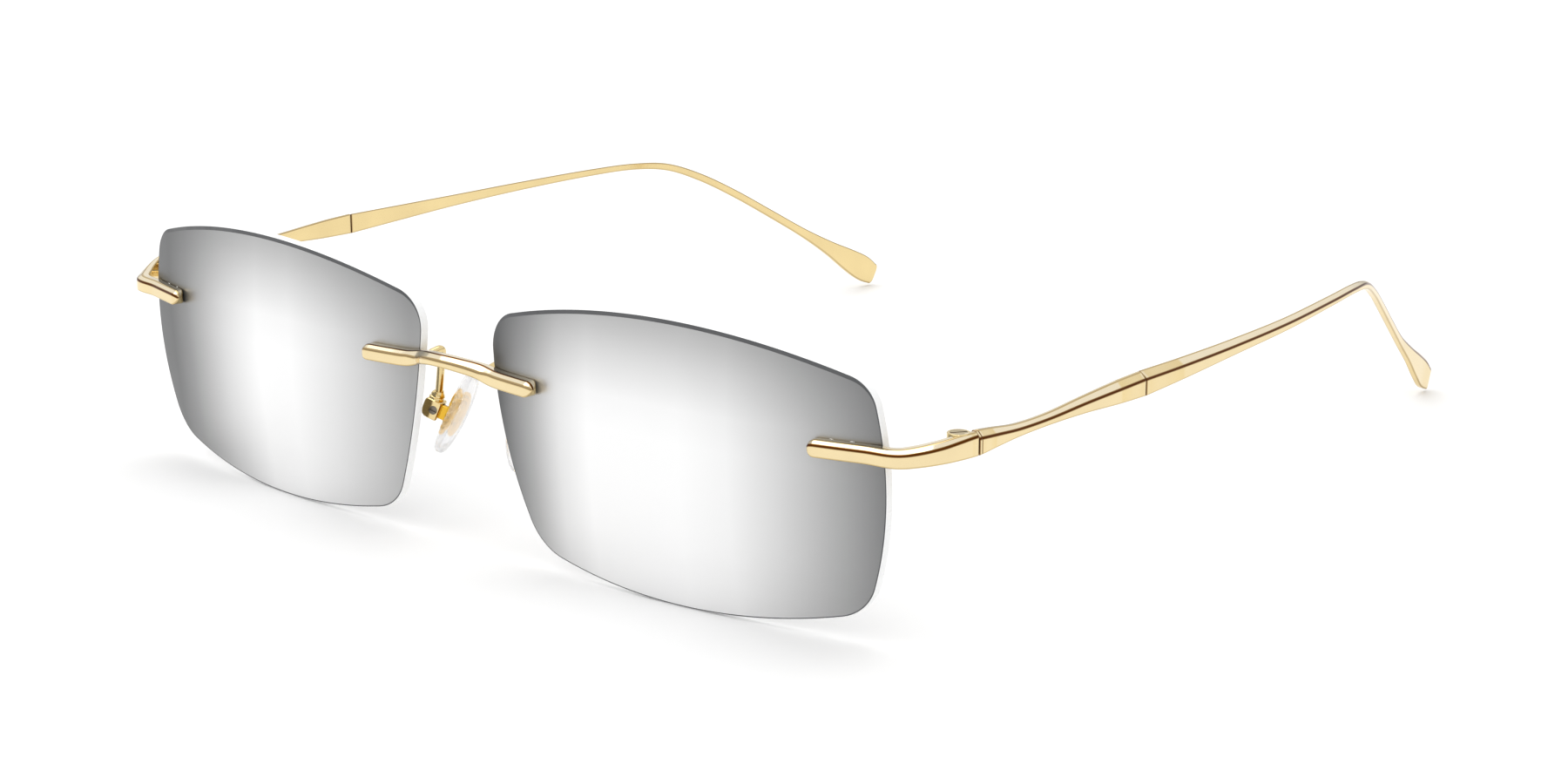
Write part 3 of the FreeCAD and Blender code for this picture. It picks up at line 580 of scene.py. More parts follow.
def bar(name, path, facing, painted_lines):
    """Bar with a faceted section along a path of (x, y, z, half u, half v, facet u, facet v,
    shade).

    Where shade is above 0 it paints shade all round that ring of the bar.

    facing is 1 or -1, whichever turns u to the outside of the object.
    """
    rings = []
    painted_marks = []
    for index, station in enumerate(path):
        before = Vector(path[max(index - 1, 0)][:3])
        after = Vector(path[min(index + 1, len(path) - 1)][:3])
        along = (after - before).normalized()
        v = (UP - along * UP.dot(along)).normalized()
        u = along.cross(v) * facing
        centre = Vector(station[:3])
        half_u, half_v, facet_u, facet_v, painted_dark = station[3:]
        section = bar_section(half_u, half_v, facet_u, facet_v, painted_lines)
        rings.append([centre + u * a + v * b for a, b, _ in section])
        # painted shade: a station's last value darkens its whole ring
        painted_marks.append([max(painted_mark, painted_dark) if painted_dark else painted_mark for _, _, painted_mark in section])
    return loft(name, rings, painted_marks)


def mirrored_path(path, side):
    """The path itself for the left side, and its mirror image for the right."""
    return [(side * station[0], *station[1:]) for station in path]


# ---------------------------------------------------------------- lens geometry

def lens_matrix(side):
    """Frame at the middle of a lens's front, turned by the wrap and the tilt."""
    centre = Vector((side * LENS_CENTRE.x, LENS_CENTRE.y, LENS_CENTRE.z))
    turn = Matrix.Rotation(side * LENS_WRAP, 4, "Z") @ Matrix.Rotation(LENS_TILT, 4, "X")
    return Matrix.Translation(centre) @ turn


def mount_matrix(side, place):
    """Frame on the lens front: x along the surface, y into the lens.  place -1 is by the nose."""
    across = side * place * MOUNT_OFFSET
    depth = LENS_RADIUS - math.sqrt(LENS_RADIUS ** 2 - across ** 2 - MOUNT_RISE ** 2)
    point = Vector((across, depth, MOUNT_RISE))
    inward = (Vector((0, LENS_RADIUS, 0)) - point).normalized()
    tangent = inward.cross(UP).normalized()
    axes = Matrix((tangent, inward, tangent.cross(inward))).transposed().to_4x4()
    return lens_matrix(side) @ Matrix.Translation(point) @ axes


def on_bar(side, place, along, ahead, height):
    """Point along the lens outwards from a mount, ahead of the lens by the given distance."""
    mount = mount_matrix(side, place)
    outwards = mount.to_3x3() @ Vector((side, 0, 0))
    inward = mount.to_3x3() @ Vector((0, 1, 0))
    point = mount.translation + outwards * along - inward * ahead
    return (point.x, point.y, height)


def arc_between(centre, start, end, steps):
    """Points from start to just before end on the shorter arc round the centre."""
    radius = (start - centre).length
    first = math.atan2(start.y - centre.y, start.x - centre.x)
    turn = math.atan2(end.y - centre.y, end.x - centre.x) - first
    turn = (turn + math.pi) % (2 * math.pi) - math.pi
    angles = [first + turn * step / steps for step in range(steps)]
    return [centre + Vector((math.cos(angle), math.sin(angle))) * radius for angle in angles]


def lens_outline():
    """The four shallow arcs of the lens and the rounds between them, seen from the front."""
    corners = [Vector(corner) for corner, _, _ in LENS_CORNERS]
    circles = []
    for index, (_, bulge, _) in enumerate(LENS_CORNERS):
        start = corners[index]
        end = corners[(index + 1) % 4]
        chord = (end - start).length
        radius = (chord ** 2 / 4 + bulge ** 2) / (2 * bulge)
        outwards = Vector((-(end - start).y, (end - start).x)) / chord
        circles.append(((start + end) / 2 + outwards * (bulge - radius), radius))
    rounds = []
    for index, (_, _, small) in enumerate(LENS_CORNERS):
        (centre_a, radius_a), (centre_b, radius_b) = circles[index - 1], circles[index]
        reach_a = radius_a - small
        reach_b = radius_b - small
        between = centre_b - centre_a
        distance = between.length
        along = (reach_a ** 2 - reach_b ** 2 + distance ** 2) / (2 * distance)
        aside = math.sqrt(reach_a ** 2 - along ** 2)
        unit = between / distance
        normal = Vector((-unit.y, unit.x))
        options = [centre_a + unit * along + normal * aside * sign for sign in (-1, 1)]
        middle = min(options, key=lambda spot: (spot - corners[index]).length)
        start = centre_a + (middle - centre_a).normalized() * radius_a
        end = centre_b + (middle - centre_b).normalized() * radius_b
        rounds.append((middle, start, end))
    outline = []
    for index, (middle, start, end) in enumerate(rounds):
        outline += arc_between(middle, start, end, CORNER_ARC_STEPS)
        outline += arc_between(circles[index][0], end, rounds[(index + 1) % 4][1], SIDE_ARC_STEPS)
    return outline


# places of a lens's materials in its list, after the mirror coat
EDGE_SLOT = 1
BACK_SLOT = 2
PAINTED_SHADE_SLOT = 3


def drill_lens(side, piece):
    """Cut the four pin holes through a lens."""
    holes = []
    for place in (-1, 1):
        mount = mount_matrix(side, place)
        for offset in PIN_SPOTS:
            start = mount @ Vector((offset, -1, 0))
            holes.append(rod("hole", start, mount @ Vector((offset, 4, 0)), LENS_HOLE))
    return cut(piece, holes)


def build_lens(side, label):
    """Curved lens with fine bevels on a flat ground edge, drilled for the pins."""
    outline = lens_outline()
    count = len(outline)
    inset = []
    for index, point in enumerate(outline):
        tangent = (outline[(index + 1) % count] - outline[index - 1]).normalized()
        inset.append(point - Vector((-tangent.y, tangent.x)) * LENS_BEVEL)
    place = lens_matrix(side)

    def surface(point, radius, shift=0.0):
        depth = LENS_RADIUS - math.sqrt(radius ** 2 - point.length_squared) + shift
        return place @ Vector((side * point.x, depth, point.y))

    # inner edge of the painted shade line, widest at the top of the lens
    painted_shade_inner = []
    for index, point in enumerate(inset):
        outwards = (outline[index] - point).normalized()
        width = PAINTED_SHADE_SIDE + (PAINTED_SHADE_TOP - PAINTED_SHADE_SIDE) * max(0.0, outwards.y) ** 2
        painted_shade_inner.append(point - outwards * width)
    back = LENS_RADIUS - LENS_THICKNESS
    scales = [step / LENS_RINGS for step in range(1, LENS_RINGS)]
    rings = [[surface(point * scale, LENS_RADIUS) for point in inset] for scale in scales]
    rings.append([surface(point, LENS_RADIUS) for point in painted_shade_inner])
    rings.append([surface(point, LENS_RADIUS) for point in inset])
    rings.append([surface(point, LENS_RADIUS, LENS_BEVEL) for point in outline])
    rings.append([surface(point, back, -LENS_BEVEL) for point in outline])
    rings.append([surface(point, back) for point in inset])
    rings += [[surface(point * scale, back) for point in inset] for scale in reversed(scales)]
    piece = loft(f"lens_{label}_shell", rings)
    painted_shade_ring = len(scales)
    last_edge_ring = painted_shade_ring + 3
    for face in piece.data.polygons:
        ring = min(face.vertices) // count
        if ring == painted_shade_ring:
            face.material_index = PAINTED_SHADE_SLOT
        elif ring > painted_shade_ring:
            face.material_index = EDGE_SLOT if ring <= last_edge_ring else BACK_SLOT
    for material in (lens_mirror(side, label), lens_edge, lens_back, lens_painted_shade):
        piece.data.materials.append(material)
    dress(drill_lens(side, piece), None, "frame", "lens_mirror", f"lens_{label}")


# ---------------------------------------------------------------- bridge and endpieces

BAR_HALF = 0.89
ENDPIECE_HALF = 0.82
PAD_FACET = (0.7, 0.5)
BAR_TIP = 1.15


def pins(side, place):
    """The two pins of a mount, from inside the bar to behind the lens."""
    mount = mount_matrix(side, place)
    pieces = []
    for offset in PIN_SPOTS:
        start = mount @ Vector((offset, -0.6, 0))
        pieces.append(rod("pin", start, mount @ Vector((offset, PIN_LENGTH, 0)), PIN_RADIUS))
    return pieces


def build_bridge():
    """Arched bar with a faceted front and rounded tips."""
    ahead = BAR_GAP + BAR_HALF
    half = [
        (*on_bar(1, -1, 4.2, ahead, 23.93), BAR_HALF, 0.98, *PAD_FACET, 0),
        (*on_bar(1, -1, 2.6, ahead, 23.93), BAR_HALF, 0.98, *PAD_FACET, 0),
        (*on_bar(1, -1, 0.0, ahead, 23.94), BAR_HALF, 0.98, *PAD_FACET, 0),
        (*on_bar(1, -1, -2.4, ahead, 23.98), BAR_HALF, 0.97, *PAD_FACET, 0),
        (*on_bar(1, -1, -3.8, ahead, 24.08), BAR_HALF, 0.95, *PAD_FACET, 0),
        (5.3, -3.6, 24.5, 0.84, 0.88, 0.8, 0.8, 0),
        (2.9, -4.7, 25.1, 0.8, 0.8, 0.7, 0.7, 0),
    ]
    centre = (0, -5.27, 25.38, 0.8, 0.75, 0.65, 0.65, 0)
    path = smooth(half + [centre] + mirrored_path(reversed(half), -1), 0.3)
    path = round_tip(path, BAR_TIP)
    path = round_tip(path[::-1], BAR_TIP)
    bare = bar("bridge_bar", path, 1, BRIDGE_PAINTED_LINES)
    piece = join("bridge_bar", [bare] + pins(1, -1) + pins(-1, -1))
    dress(piece, gold, "frame", "frame_metal", "bridge")


KNUCKLE_STEPS = 40
# outline of the piece that ties an outer knuckle to the bar: (outwards, back) from the hinge
OUTER_TAIL = (
    (-0.75, -1.1), (0.4, -1.5), (1.2, -0.4), (1.5, 1.2), (0.98, 1.25), (0.7, 0.9), (-0.4, 0.3),
)
# the same for the middle knuckle and the temple
MIDDLE_TAIL = ((0.0, -0.9), (1.14, -0.6), (1.14, 1.7), (0.2, 1.7), (-0.1, 0.0))
MIDDLE_KNUCKLE_HEIGHT = 0.9


def hinge_frame(side):
    """Foot of the hinge's axis, and the directions outwards, back and up."""
    return Vector((side * HINGE_X, HINGE_Y, 0)), (Vector((side, 0, 0)), Vector((0, 1, 0)), UP)


def knuckle(name, side, low, high, tail):
    """Hinge ear: a drilled disc whose tail runs into the bar or the temple."""
    outline = []
    for step in range(KNUCKLE_STEPS):
        turn = 2 * math.pi * step / KNUCKLE_STEPS
        outline.append((KNUCKLE_RADIUS * math.cos(turn), KNUCKLE_RADIUS * math.sin(turn)))
    origin, axes = hinge_frame(side)
    disc = prism(name, outline, origin, axes, low, high, 0.06)
    web = prism("web", tail, origin, axes, low + 0.02, high - 0.02, 0.04)
    bore = rod("bore", origin + UP * (low - 1), origin + UP * (high + 1), HINGE_BORE)
    return cut(cut(disc, [web], "UNION"), [bore])


def build_endpiece(side, label):
    """Bar from the lens front round the bend to the hinge, slotted for the temple's ear."""
    half = ENDPIECE_HALF
    ahead = BAR_GAP + half
    # a station's last number paints shade round the bar, here at its end by the hinge
    path = smooth([
        (*on_bar(1, 1, -3.95, ahead, 23.78), half, 1.0, *PAD_FACET, 0),
        (*on_bar(1, 1, -2.0, ahead, 23.78), half, 1.0, *PAD_FACET, 0),
        (*on_bar(1, 1, 1.0, ahead, 23.79), half, 1.0, *PAD_FACET, 0),
        (*on_bar(1, 1, 3.6, ahead, 23.8), half, 1.0, *PAD_FACET, 0),
        (66.75, 1.55, 23.86, 0.9, 1.04, 0.8, 0.5, 0),
        (68.45, 3.3, 24.02, 0.88, 1.12, 0.8, 0.55, 0),
        (69.88, 5.4, 24.3, 0.78, 1.25, 0.7, 0.6, 0),
        (70.85, 7.5, 24.56, 0.62, 1.38, 0.5, 0.6, 0),
        (71.3, 8.9, HINGE_MIDDLE, 0.52, 1.4, 0.4, 0.5, 0),
        (71.42, 9.8, HINGE_MIDDLE, 0.48, 1.4, 0.36, 0.45, 0),
        (71.42, 9.9, HINGE_MIDDLE, 0.48, 1.4, 0.36, 0.45, 0.9),
        (71.42, 9.98, HINGE_MIDDLE, 0.42, 1.34, 0.3, 0.4, 0.9),
    ], 0.3)
    path = round_tip(path[::-1], BAR_TIP)[::-1]
    piece = bar(f"endpiece_{label}_bar", mirrored_path(path, side), side, TEMPLE_PAINTED_LINES)
    slot_low = HINGE_LOW + KNUCKLE_HEIGHT
    slot_high = HINGE_HIGH - KNUCKLE_HEIGHT
    origin, axes = hinge_frame(side)
    above = origin + UP * (HINGE_HIGH + 1)
    clearance = rod("clearance", origin + UP * slot_low, origin + UP * slot_high,
                    KNUCKLE_RADIUS + 0.13, 64)
    gap_outline = ((-3, 0), (1.3, 0), (1.3, 2.4), (-3, 2.4))
    gap = prism("gap", gap_outline, origin, axes, slot_low, slot_high)
    bore = rod("bore", origin + UP * (HINGE_LOW - 1), above, HINGE_BORE + 0.02)
    piece = cut(piece, [clearance, gap, bore])
    lower = knuckle("lower", side, HINGE_LOW + 0.01, slot_low, OUTER_TAIL)
    upper = knuckle("upper", side, slot_high, HINGE_HIGH - 0.01, OUTER_TAIL)
    recess = rod("recess", origin + UP * (HINGE_HIGH - HEAD_DEPTH), above, HINGE_HEAD)
    piece = join(f"endpiece_{label}_bar", [piece, lower, cut(upper, [recess])] + pins(side, 1))
    dress(piece, gold, "frame", "frame_metal", f"endpiece_{label}")


# ---------------------------------------------------------------- temples

JOINT_Y = 43.25
JOINT_HEIGHT = 24.88
TEMPLE_X = 71.25
HALF_WIDTH = 0.65


def build_temple_front(side, label):
    """Front length: a collar at the hinge, a slim waist, and a flare to the joint."""
    # a station's last number paints shade round the bar, here at the collar, its groove and the
    # joint
    stations = [
        (TEMPLE_X, 10.17, HINGE_MIDDLE, 0.58, 1.33, 0.7, 0.75, 0.9),
        (TEMPLE_X, 10.25, HINGE_MIDDLE, HALF_WIDTH, 1.4, 0.75, 0.8, 0.7),
        (TEMPLE_X, 10.34, HINGE_MIDDLE, HALF_WIDTH, 1.4, 0.75, 0.8, 0),
        (TEMPLE_X, 10.56, HINGE_MIDDLE, HALF_WIDTH, 1.4, 0.75, 0.8, 0),
        (TEMPLE_X, 10.64, HINGE_MIDDLE, HALF_WIDTH - 0.07, 1.33, 0.7, 0.75, 1),
        (TEMPLE_X, 10.72, HINGE_MIDDLE, HALF_WIDTH - 0.07, 1.33, 0.7, 0.75, 1),
        (TEMPLE_X, 10.8, HINGE_MIDDLE, HALF_WIDTH, 1.38, 0.75, 0.8, 0),
        (TEMPLE_X, 13.5, 24.62, HALF_WIDTH, 1.12, 0.8, 0.7, 0),
        (TEMPLE_X, 18.0, 24.52, HALF_WIDTH, 0.7, 0.8, 0.45, 0),
        (TEMPLE_X, 24.0, 24.58, HALF_WIDTH, 0.63, 0.8, 0.42, 0),
        (TEMPLE_X, 31.0, 24.78, HALF_WIDTH, 0.93, 0.85, 0.6, 0),
        (TEMPLE_X, 38.0, 24.85, HALF_WIDTH, 1.33, 0.8, 0.85, 0),
        (TEMPLE_X, JOINT_Y - 0.25, JOINT_HEIGHT, HALF_WIDTH, 1.47, 0.8, 0.85, 0),
        (TEMPLE_X, JOINT_Y - 0.08, JOINT_HEIGHT, HALF_WIDTH, 1.47, 0.8, 0.85, 0.7),
        (TEMPLE_X, JOINT_Y, JOINT_HEIGHT, HALF_WIDTH - 0.06, 1.41, 0.7, 0.8, 1),
    ]
    path = mirrored_path(smooth(stations, 0.35), side)
    piece = bar(f"temple_front_{label}_bar", path, side, TEMPLE_PAINTED_LINES)
    low = HINGE_LOW + KNUCKLE_HEIGHT + KNUCKLE_GAP
    ear = knuckle("ear", side, low, low + MIDDLE_KNUCKLE_HEIGHT, MIDDLE_TAIL)
    piece = join(f"temple_front_{label}_bar", [piece, ear])
    dress(piece, gold, f"temple_{label}", "frame_metal", f"temple_front_{label}")


def build_temple_rear(side, label):
    """Rear length: thins towards the bend, turns down and in, and ends in a flared tip."""
    start = JOINT_Y + 0.1
    # a station's last number paints shade round the bar, here at the joint
    stations = [
        (TEMPLE_X, start, JOINT_HEIGHT, HALF_WIDTH - 0.06, 1.41, 1.1, 0.8, 1),
        (TEMPLE_X, start + 0.08, JOINT_HEIGHT, HALF_WIDTH, 1.47, 1.2, 0.85, 0.7),
        (TEMPLE_X, start + 0.3, JOINT_HEIGHT, HALF_WIDTH, 1.47, 1.2, 0.85, 0),
        (71.12, 52.0, 25.02, 0.62, 1.23, 1.2, 0.75, 0),
        (70.7, 64.0, 25.28, 0.6, 0.9, 1.2, 0.6, 0),
        (69.85, 78.0, 25.55, 0.57, 0.68, 1.1, 0.45, 0),
        (68.0, 92.5, 25.8, 0.54, 0.55, 1.0, 0.4, 0),
        (66.5, 100.5, 25.7, 0.52, 0.52, 0.98, 0.36, 0),
        (64.8, 106.5, 24.9, 0.5, 0.56, 0.4, 0.3, 0),
        (62.8, 112.2, 22.6, 0.48, 0.6, 0.3, 0.25, 0),
        (60.7, 118.2, 19.25, 0.47, 0.62, 0.25, 0.2, 0),
        (58.6, 124.8, 15.1, 0.46, 0.64, 0.25, 0.2, 0),
        (56.7, 131.2, 11.0, 0.46, 0.75, 0.25, 0.25, 0),
        (55.5, 136.4, 7.75, 0.46, 1.2, 0.25, 0.3, 0),
        (54.6, 140.4, 5.2, 0.46, 1.85, 0.25, 0.4, 0),
        (54.0, 143.0, 3.55, 0.46, 2.12, 0.25, 0.4, 0),
        (53.72, 144.8, 2.42, 0.46, 1.92, 0.25, 0.4, 0),
        (53.5, 146.2, 1.65, 0.45, 1.4, 0.25, 0.3, 0),
    ]
    path = round_tip(smooth(stations, 0.5), 0.9)
    piece = bar(f"temple_rear_{label}_bar", mirrored_path(path, side), side, TEMPLE_PAINTED_LINES)
    dress(piece, gold, f"temple_{label}", "frame_metal", f"temple_rear_{label}")


# ---------------------------------------------------------------- nose pads

PAD_CENTRE = Vector((6.2, 3.2, 15.8))
PAD_LENGTH_AXIS = Vector((-0.302, 0.231, 0.925)).normalized()
PAD_NOSE_HINT = Vector((-1.0, 0.5, 0.0))
PAD_THICKNESS = 2.2
PAD_OUTLINE = (
    (0.5, 5.6), (2.4, 4.6), (3.2, 2.0), (2.9, -1.1), (1.5, -4.0), (-0.5, -5.5), (-2.1, -5.1),
    (-2.7, -2.9), (-2.5, 0.4), (-2.0, 3.3), (-1.0, 5.0),
)
INSERT_OUTLINE = (
    (-2.0, -2.9), (-2.05, -0.5), (-2.0, 2.2), (-0.3, 3.1), (1.4, 2.1), (1.9, 0.0), (0.7, -2.5),
    (-0.7, -3.3),
)
# hollow of the pad's back: its depth in the middle, and how it fades with distance squared
HOLLOW_DEPTH = 0.35
HOLLOW_FADE = 0.012
INSERT_DEPTH = -0.62
INSERT_HALF = 0.2
# ribs of the insert: their height, how they lean, and how close together they are
RIB_HEIGHT = 0.1
RIB_LEAN = (0.7, 1.3)
RIB_PITCH = 6.0
# where the pad's screw crosses the tongue: across, towards the nose, along
SCREW_SPOT = Vector((-0.2, -2.68, -0.77))
TONGUE_HALF = 0.45
TONGUE_REACH = 0.9
TONGUE_ROOT = -0.55
TONGUE_BORE = 0.45
CHEEK = 0.62
BOX_HALF_HEIGHT = 1.25
BOX_BACK = 1.5
BOX_MOUTH = 0.75
BOX_GAP = 0.06
BOX_SLOT_DEPTH = 1.05
BOX_ROOF = 0.2
BOX_BORE = 0.42
BOX_HEAD = 0.57
# how far behind the screw the collar and the arm stand
COLLAR_SHIFT = 0.4
# profile of the collar: (height above its foot, radius)
COLLAR = (
    (0, 0.98), (0.12, 1.02), (0.24, 1.02), (0.34, 0.95), (0.42, 0.86), (0.5, 0.9), (0.62, 0.93),
    (0.76, 0.9), (0.9, 0.82), (1.05, 0.72), (1.2, 0.6), (1.4, 0.52),
)


def pad_axes(side):
    """Across the pad, towards the nose, and along the pad's length, for one side."""
    towards = (PAD_NOSE_HINT - PAD_LENGTH_AXIS * PAD_NOSE_HINT.dot(PAD_LENGTH_AXIS)).normalized()
    across = towards.cross(PAD_LENGTH_AXIS)
    return [Vector((side * axis.x, axis.y, axis.z)) for axis in (across, towards, PAD_LENGTH_AXIS)]


def pad_point(side, across, towards, along):
    """Point of the pad on one side, from its distances along the pad's own directions."""
    axes = pad_axes(side)
    centre = Vector((side * PAD_CENTRE.x, PAD_CENTRE.y, PAD_CENTRE.z))
    return centre + axes[0] * across + axes[1] * towards + axes[2] * along


def on_screw(side, shift):
    """Point on the pad screw's axis, shifted across the pad from the middle of the tongue."""
    return pad_point(side, SCREW_SPOT.x + shift, SCREW_SPOT.y, SCREW_SPOT.z)


def closed_curve(points, count):
    """Smooth closed outline through the points."""
    looped = [(a, b, 0) for a, b in points[-2:] + points + points[:3]]
    dense = smooth(looped, 0.05)
    gaps = [math.dist(spot[:2], points[0]) for spot in dense]
    start = min(range(len(dense) // 2), key=lambda index: gaps[index])
    end = next(index for index in range(start + 20, len(dense)) if gaps[index] < 0.03)
    picks = [start + (end - start) * step / count for step in range(count)]
    return [Vector(dense[round(pick)][:2]) for pick in picks]


def pillow(name, side, outline, middle, half, power, lift):
    """Rounded cushion: rings shrink towards the middle as the surface rises.

    lift(point, face) adds to the height at a point, face 1 towards the nose and -1 behind.
    """
    rings = []
    centre = sum(outline, Vector((0, 0))) / len(outline)
    turns = [math.radians(angle) for angle in range(-87, 88, 6)]
    for turn in turns:
        scale = abs(math.cos(turn)) ** (2 / power)
        rise = math.copysign(abs(math.sin(turn)) ** (2 / power), turn) * half
        face = 1 if rise > 0 else -1
        ring = []
        for point in outline:
            spot = centre + (point - centre) * scale
            height = middle + rise + lift(spot, face) * (1 - scale ** 4)
            ring.append(pad_point(side, spot.x, height, spot.y))
        rings.append(ring)
    return loft(name, rings)


def build_nose_pad(side, label):
    """Clear teardrop cushion, hollowed a little behind."""
    outline = closed_curve(PAD_OUTLINE, 72)

    def hollow(spot, face):
        return 0.0 if face > 0 else HOLLOW_DEPTH - HOLLOW_FADE * spot.length_squared

    piece = pillow(f"nose_pad_{label}_cushion", side, outline, 0, PAD_THICKNESS / 2, 3.0, hollow)
    dress(piece, silicone, f"pad_{label}", "pad_silicone", f"nose_pad_{label}")


def build_pad_insert(side, label):
    """Ribbed plate inside the cushion, with a rounded tongue for the screw."""
    outline = closed_curve(INSERT_OUTLINE, 96)

    def ribs(spot, face):
        wave = math.sin((spot.x * RIB_LEAN[0] + spot.y * RIB_LEAN[1]) * RIB_PITCH)
        return RIB_HEIGHT * wave * face

    plate = pillow(f"pad_insert_{label}_plate", side, outline, INSERT_DEPTH, INSERT_HALF, 6.0, ribs)
    origin = pad_point(side, 0, 0, 0)
    across, towards, along = pad_axes(side)
    reach = TONGUE_REACH
    tongue_outline = [(TONGUE_ROOT, SCREW_SPOT.z + reach), (TONGUE_ROOT, SCREW_SPOT.z - reach)]
    for step in range(13):
        turn = math.radians(270 - 15 * step)
        tongue_outline.append((SCREW_SPOT.y + reach * math.cos(turn),
                               SCREW_SPOT.z + reach * math.sin(turn)))
    tongue = prism("tongue", tongue_outline, origin, (towards, along, across),
                   SCREW_SPOT.x - TONGUE_HALF, SCREW_SPOT.x + TONGUE_HALF, 0.08)
    bore = rod("bore", on_screw(side, -2), on_screw(side, 2), TONGUE_BORE)
    tongue = cut(tongue, [bore])
    piece = join(f"pad_insert_{label}_plate", [plate, tongue])
    dress(piece, deep_gold, f"pad_{label}", "insert_metal", f"pad_insert_{label}")


def build_pad_box(side, label):
    """Rounded cup round the tongue, with a domed collar on top for the arm."""
    origin = pad_point(side, 0, 0, 0)
    across, towards, along = pad_axes(side)
    back = SCREW_SPOT.y - BOX_BACK
    mouth = SCREW_SPOT.y + BOX_MOUTH
    low = SCREW_SPOT.z - BOX_HALF_HEIGHT
    high = SCREW_SPOT.z + BOX_HALF_HEIGHT
    corners = rounded_polygon((
        (mouth, low, 0.2, 0, 0),
        (mouth, high, 0.3, 0, 0),
        (back, high, 0.5, 0, 0),
        (back, low, 1.1, 0, 0),
    ))
    half = TONGUE_HALF + BOX_GAP + CHEEK
    piece = prism(f"pad_box_{label}_cup", [(a, b) for a, b, _ in corners], origin,
                  (towards, along, across), SCREW_SPOT.x - half, SCREW_SPOT.x + half, 0.12)
    inner = TONGUE_HALF + BOX_GAP
    deep = SCREW_SPOT.y - BOX_SLOT_DEPTH
    roof = high - BOX_ROOF
    slot_outline = ((deep, low - 1), (mouth + 1, low - 1), (mouth + 1, roof), (deep, roof))
    slot = prism("slot", slot_outline, origin, (towards, along, across),
                 SCREW_SPOT.x - inner, SCREW_SPOT.x + inner)
    start = on_screw(side, -half - 1)
    end = on_screw(side, half + 1)
    unit = (end - start).normalized()
    bore = rod("bore", start, end, BOX_BORE)
    recess = rod("recess", start, start + unit * 1.3, BOX_HEAD)
    piece = cut(piece, [slot, bore, recess])
    foot = pad_point(side, SCREW_SPOT.x, SCREW_SPOT.y - COLLAR_SHIFT, high - 0.1)
    dome = lathe("dome", foot, along, COLLAR)
    piece = join(f"pad_box_{label}_cup", [piece, dome])
    dress(piece, gold, "frame", "frame_metal", f"pad_box_{label}")


# how far from the knee the wire starts to bend
KNEE_REACH = 0.95


def build_pad_arm(side, label):
    """Bent wire from behind the bridge up to a round knee and down to the box."""
    root = Vector((side * 5.6, -3.0, 24.3))
    knee = Vector((side * 5.35, 0.2, 25.0))
    end = pad_point(side, SCREW_SPOT.x, SCREW_SPOT.y - COLLAR_SHIFT,
                    SCREW_SPOT.z + BOX_HALF_HEIGHT + 0.9)
    before = knee + (root - knee).normalized() * KNEE_REACH
    after = knee + (end - knee).normalized() * KNEE_REACH
    places = [(root, 0.62), ((root * 2 + before) / 3, 0.56), (before, 0.52)]
    for t in (0.17, 0.33, 0.5, 0.67, 0.83):
        spot = before * (1 - t) ** 2 + knee * 2 * t * (1 - t) + after * t ** 2
        places.append((spot, 0.54))
    places += [(after, 0.52), ((after + end) / 2, 0.5), (end, 0.5)]
    path = smooth([(*spot, radius) for spot, radius in places], 0.2)
    hint = Vector((side, 0, 0))
    rings = []
    for index, station in enumerate(path):
        low = Vector(path[max(index - 1, 0)][:3])
        high = Vector(path[min(index + 1, len(path) - 1)][:3])
        along = (high - low).normalized()
        x_axis = (hint - along * hint.dot(along)).normalized()
        rings.append(circle_ring(Vector(station[:3]), x_axis, along.cross(x_axis), station[3], 28))
    dress(loft(f"pad_arm_{label}_wire", rings), gold, "frame", "frame_metal", f"pad_arm_{label}")


# ---------------------------------------------------------------- floor, light and camera

FLOOR_HALF = 4.0
# brightness of the surroundings by direction: (upward part, which is 0 at the horizon and below
# it and 1 overhead; brightness)
SKY_STOPS = ((0, 0.75), (0.12, 0.55), (0.3, 0.92), (0.6, 0.96), (1.0, 0.96))
CAMERA_PLACE = (0.27633, -0.33284, 0.12245)
CAMERA_TURN = (math.radians(74.9), 0.0, math.radians(40.6))
CAMERA_LENS = 72.0
CAMERA_SENSOR = 36.0


def build_floor():
    """Wide pale sheet of paper that the glasses stand on."""
    mesh = bpy.data.meshes.new("floor")
    corners = [(x, y, 0) for x, y in (
        (-FLOOR_HALF, -FLOOR_HALF), (FLOOR_HALF, -FLOOR_HALF), (FLOOR_HALF, FLOOR_HALF),
        (-FLOOR_HALF, FLOOR_HALF))]
    mesh.from_pydata(corners, [], [(0, 1, 2, 3)])
    floor = bpy.data.objects.new("floor", mesh)
    bpy.context.scene.collection.objects.link(floor)
    material, shader = plain_gloss(
        "floor_paper", linear(247, 247, 247), linear(250, 250, 250), 0.6, 8)
    shader.inputs["Specular IOR Level"].default_value = 0.2
    mesh.materials.append(material)


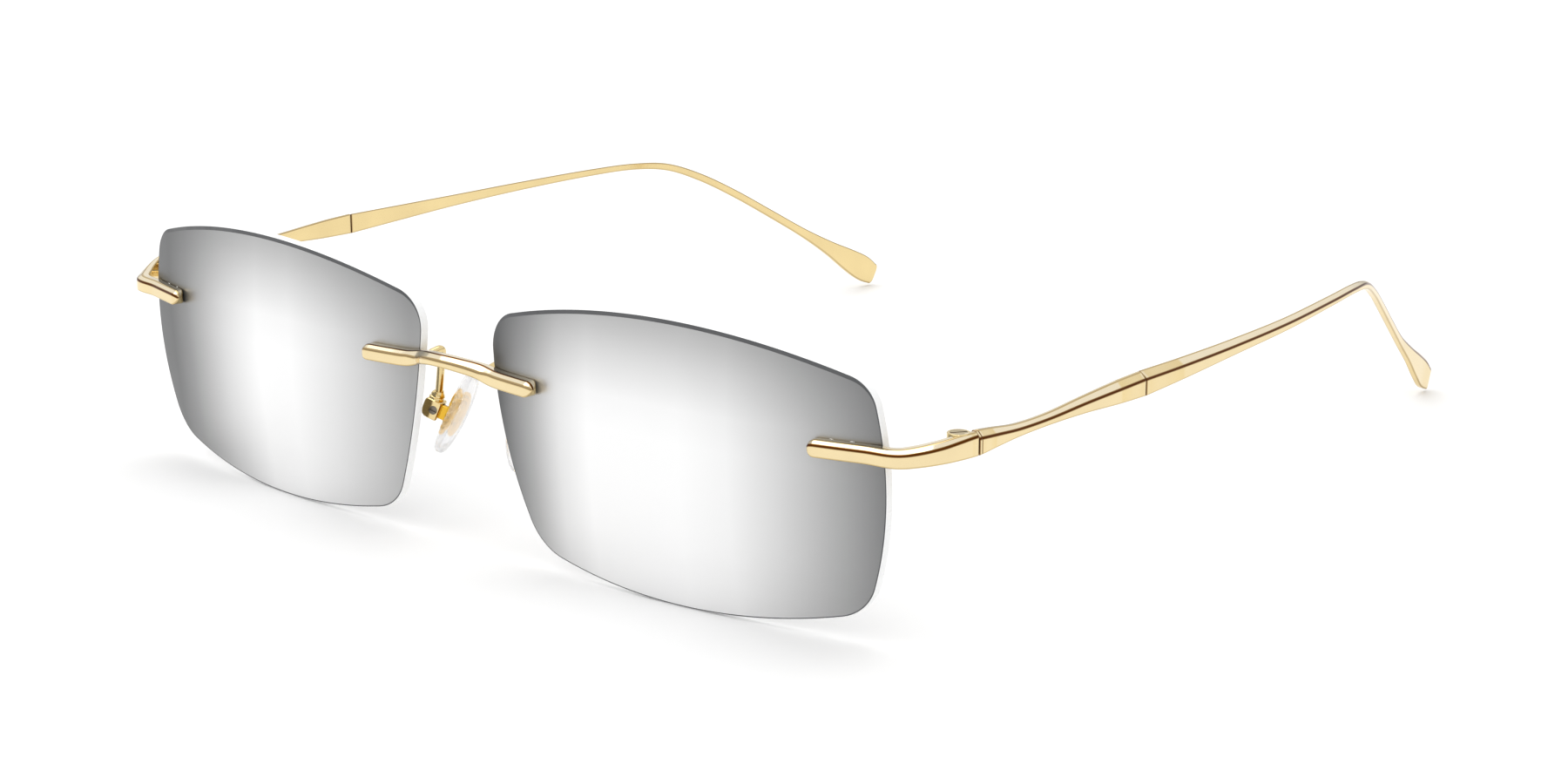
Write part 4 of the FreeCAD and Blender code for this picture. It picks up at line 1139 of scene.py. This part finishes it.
def build_sky():
    """Soft studio surroundings, dimmer just above the horizon."""
    world = bpy.data.worlds.new("studio")
    world.use_nodes = True
    bpy.context.scene.world = world
    tree = world.node_tree
    place = tree.nodes.new("ShaderNodeTexCoord")
    axes = tree.nodes.new("ShaderNodeSeparateXYZ")
    ramp = tree.nodes.new("ShaderNodeValToRGB")
    tree.links.new(place.outputs["Generated"], axes.inputs["Vector"])
    tree.links.new(axes.outputs["Z"], ramp.inputs["Fac"])
    set_ramp(ramp, SKY_STOPS, False)
    tree.links.new(ramp.outputs["Color"], tree.nodes["Background"].inputs["Color"])
    tree.nodes["Background"].inputs["Strength"].default_value = 1.0


def add_softbox(name, place, target, size, power):
    """Square area light that faces the target."""
    light = bpy.data.lights.new(name, "AREA")
    light.shape = "RECTANGLE"
    light.size = size
    light.size_y = size
    light.energy = power
    lamp = bpy.data.objects.new(name, light)
    lamp.location = place
    lamp.rotation_euler = (Vector(target) - Vector(place)).to_track_quat("-Z", "Y").to_euler()
    bpy.context.scene.collection.objects.link(lamp)


def add_camera():
    """Camera at the front left, a little above the glasses."""
    data = bpy.data.cameras.new("camera")
    data.sensor_width = CAMERA_SENSOR
    data.lens = CAMERA_LENS
    camera = bpy.data.objects.new("camera", data)
    camera.location = CAMERA_PLACE
    camera.rotation_euler = CAMERA_TURN
    scene = bpy.context.scene
    scene.collection.objects.link(camera)
    scene.camera = camera
    scene.view_settings.view_transform = "Standard"


# ---------------------------------------------------------------- assembly

build_bridge()
for label, side in SIDES:
    build_lens(side, label)
    build_endpiece(side, label)
    build_temple_front(side, label)
    build_temple_rear(side, label)
    build_nose_pad(side, label)
    build_pad_insert(side, label)
    build_pad_box(side, label)
    build_pad_arm(side, label)

# CAD pieces that are drawn as they are, with these materials
for kind, material in (("lens_plugs", clear_plug), ("pad_screw", screw_steel),
                       ("hinge_screw", screw_gold), ("hinge_washers", nylon)):
    for label, _ in SIDES:
        node = frame["nodes"][f"{kind}_{label}"]
        node.data.materials.clear()
        node.data.materials.append(material)

build_floor()
build_sky()
add_softbox("top_softbox", (-0.3, -0.1, 1.2), (0, 0, 0), 1.2, 6)
add_camera()
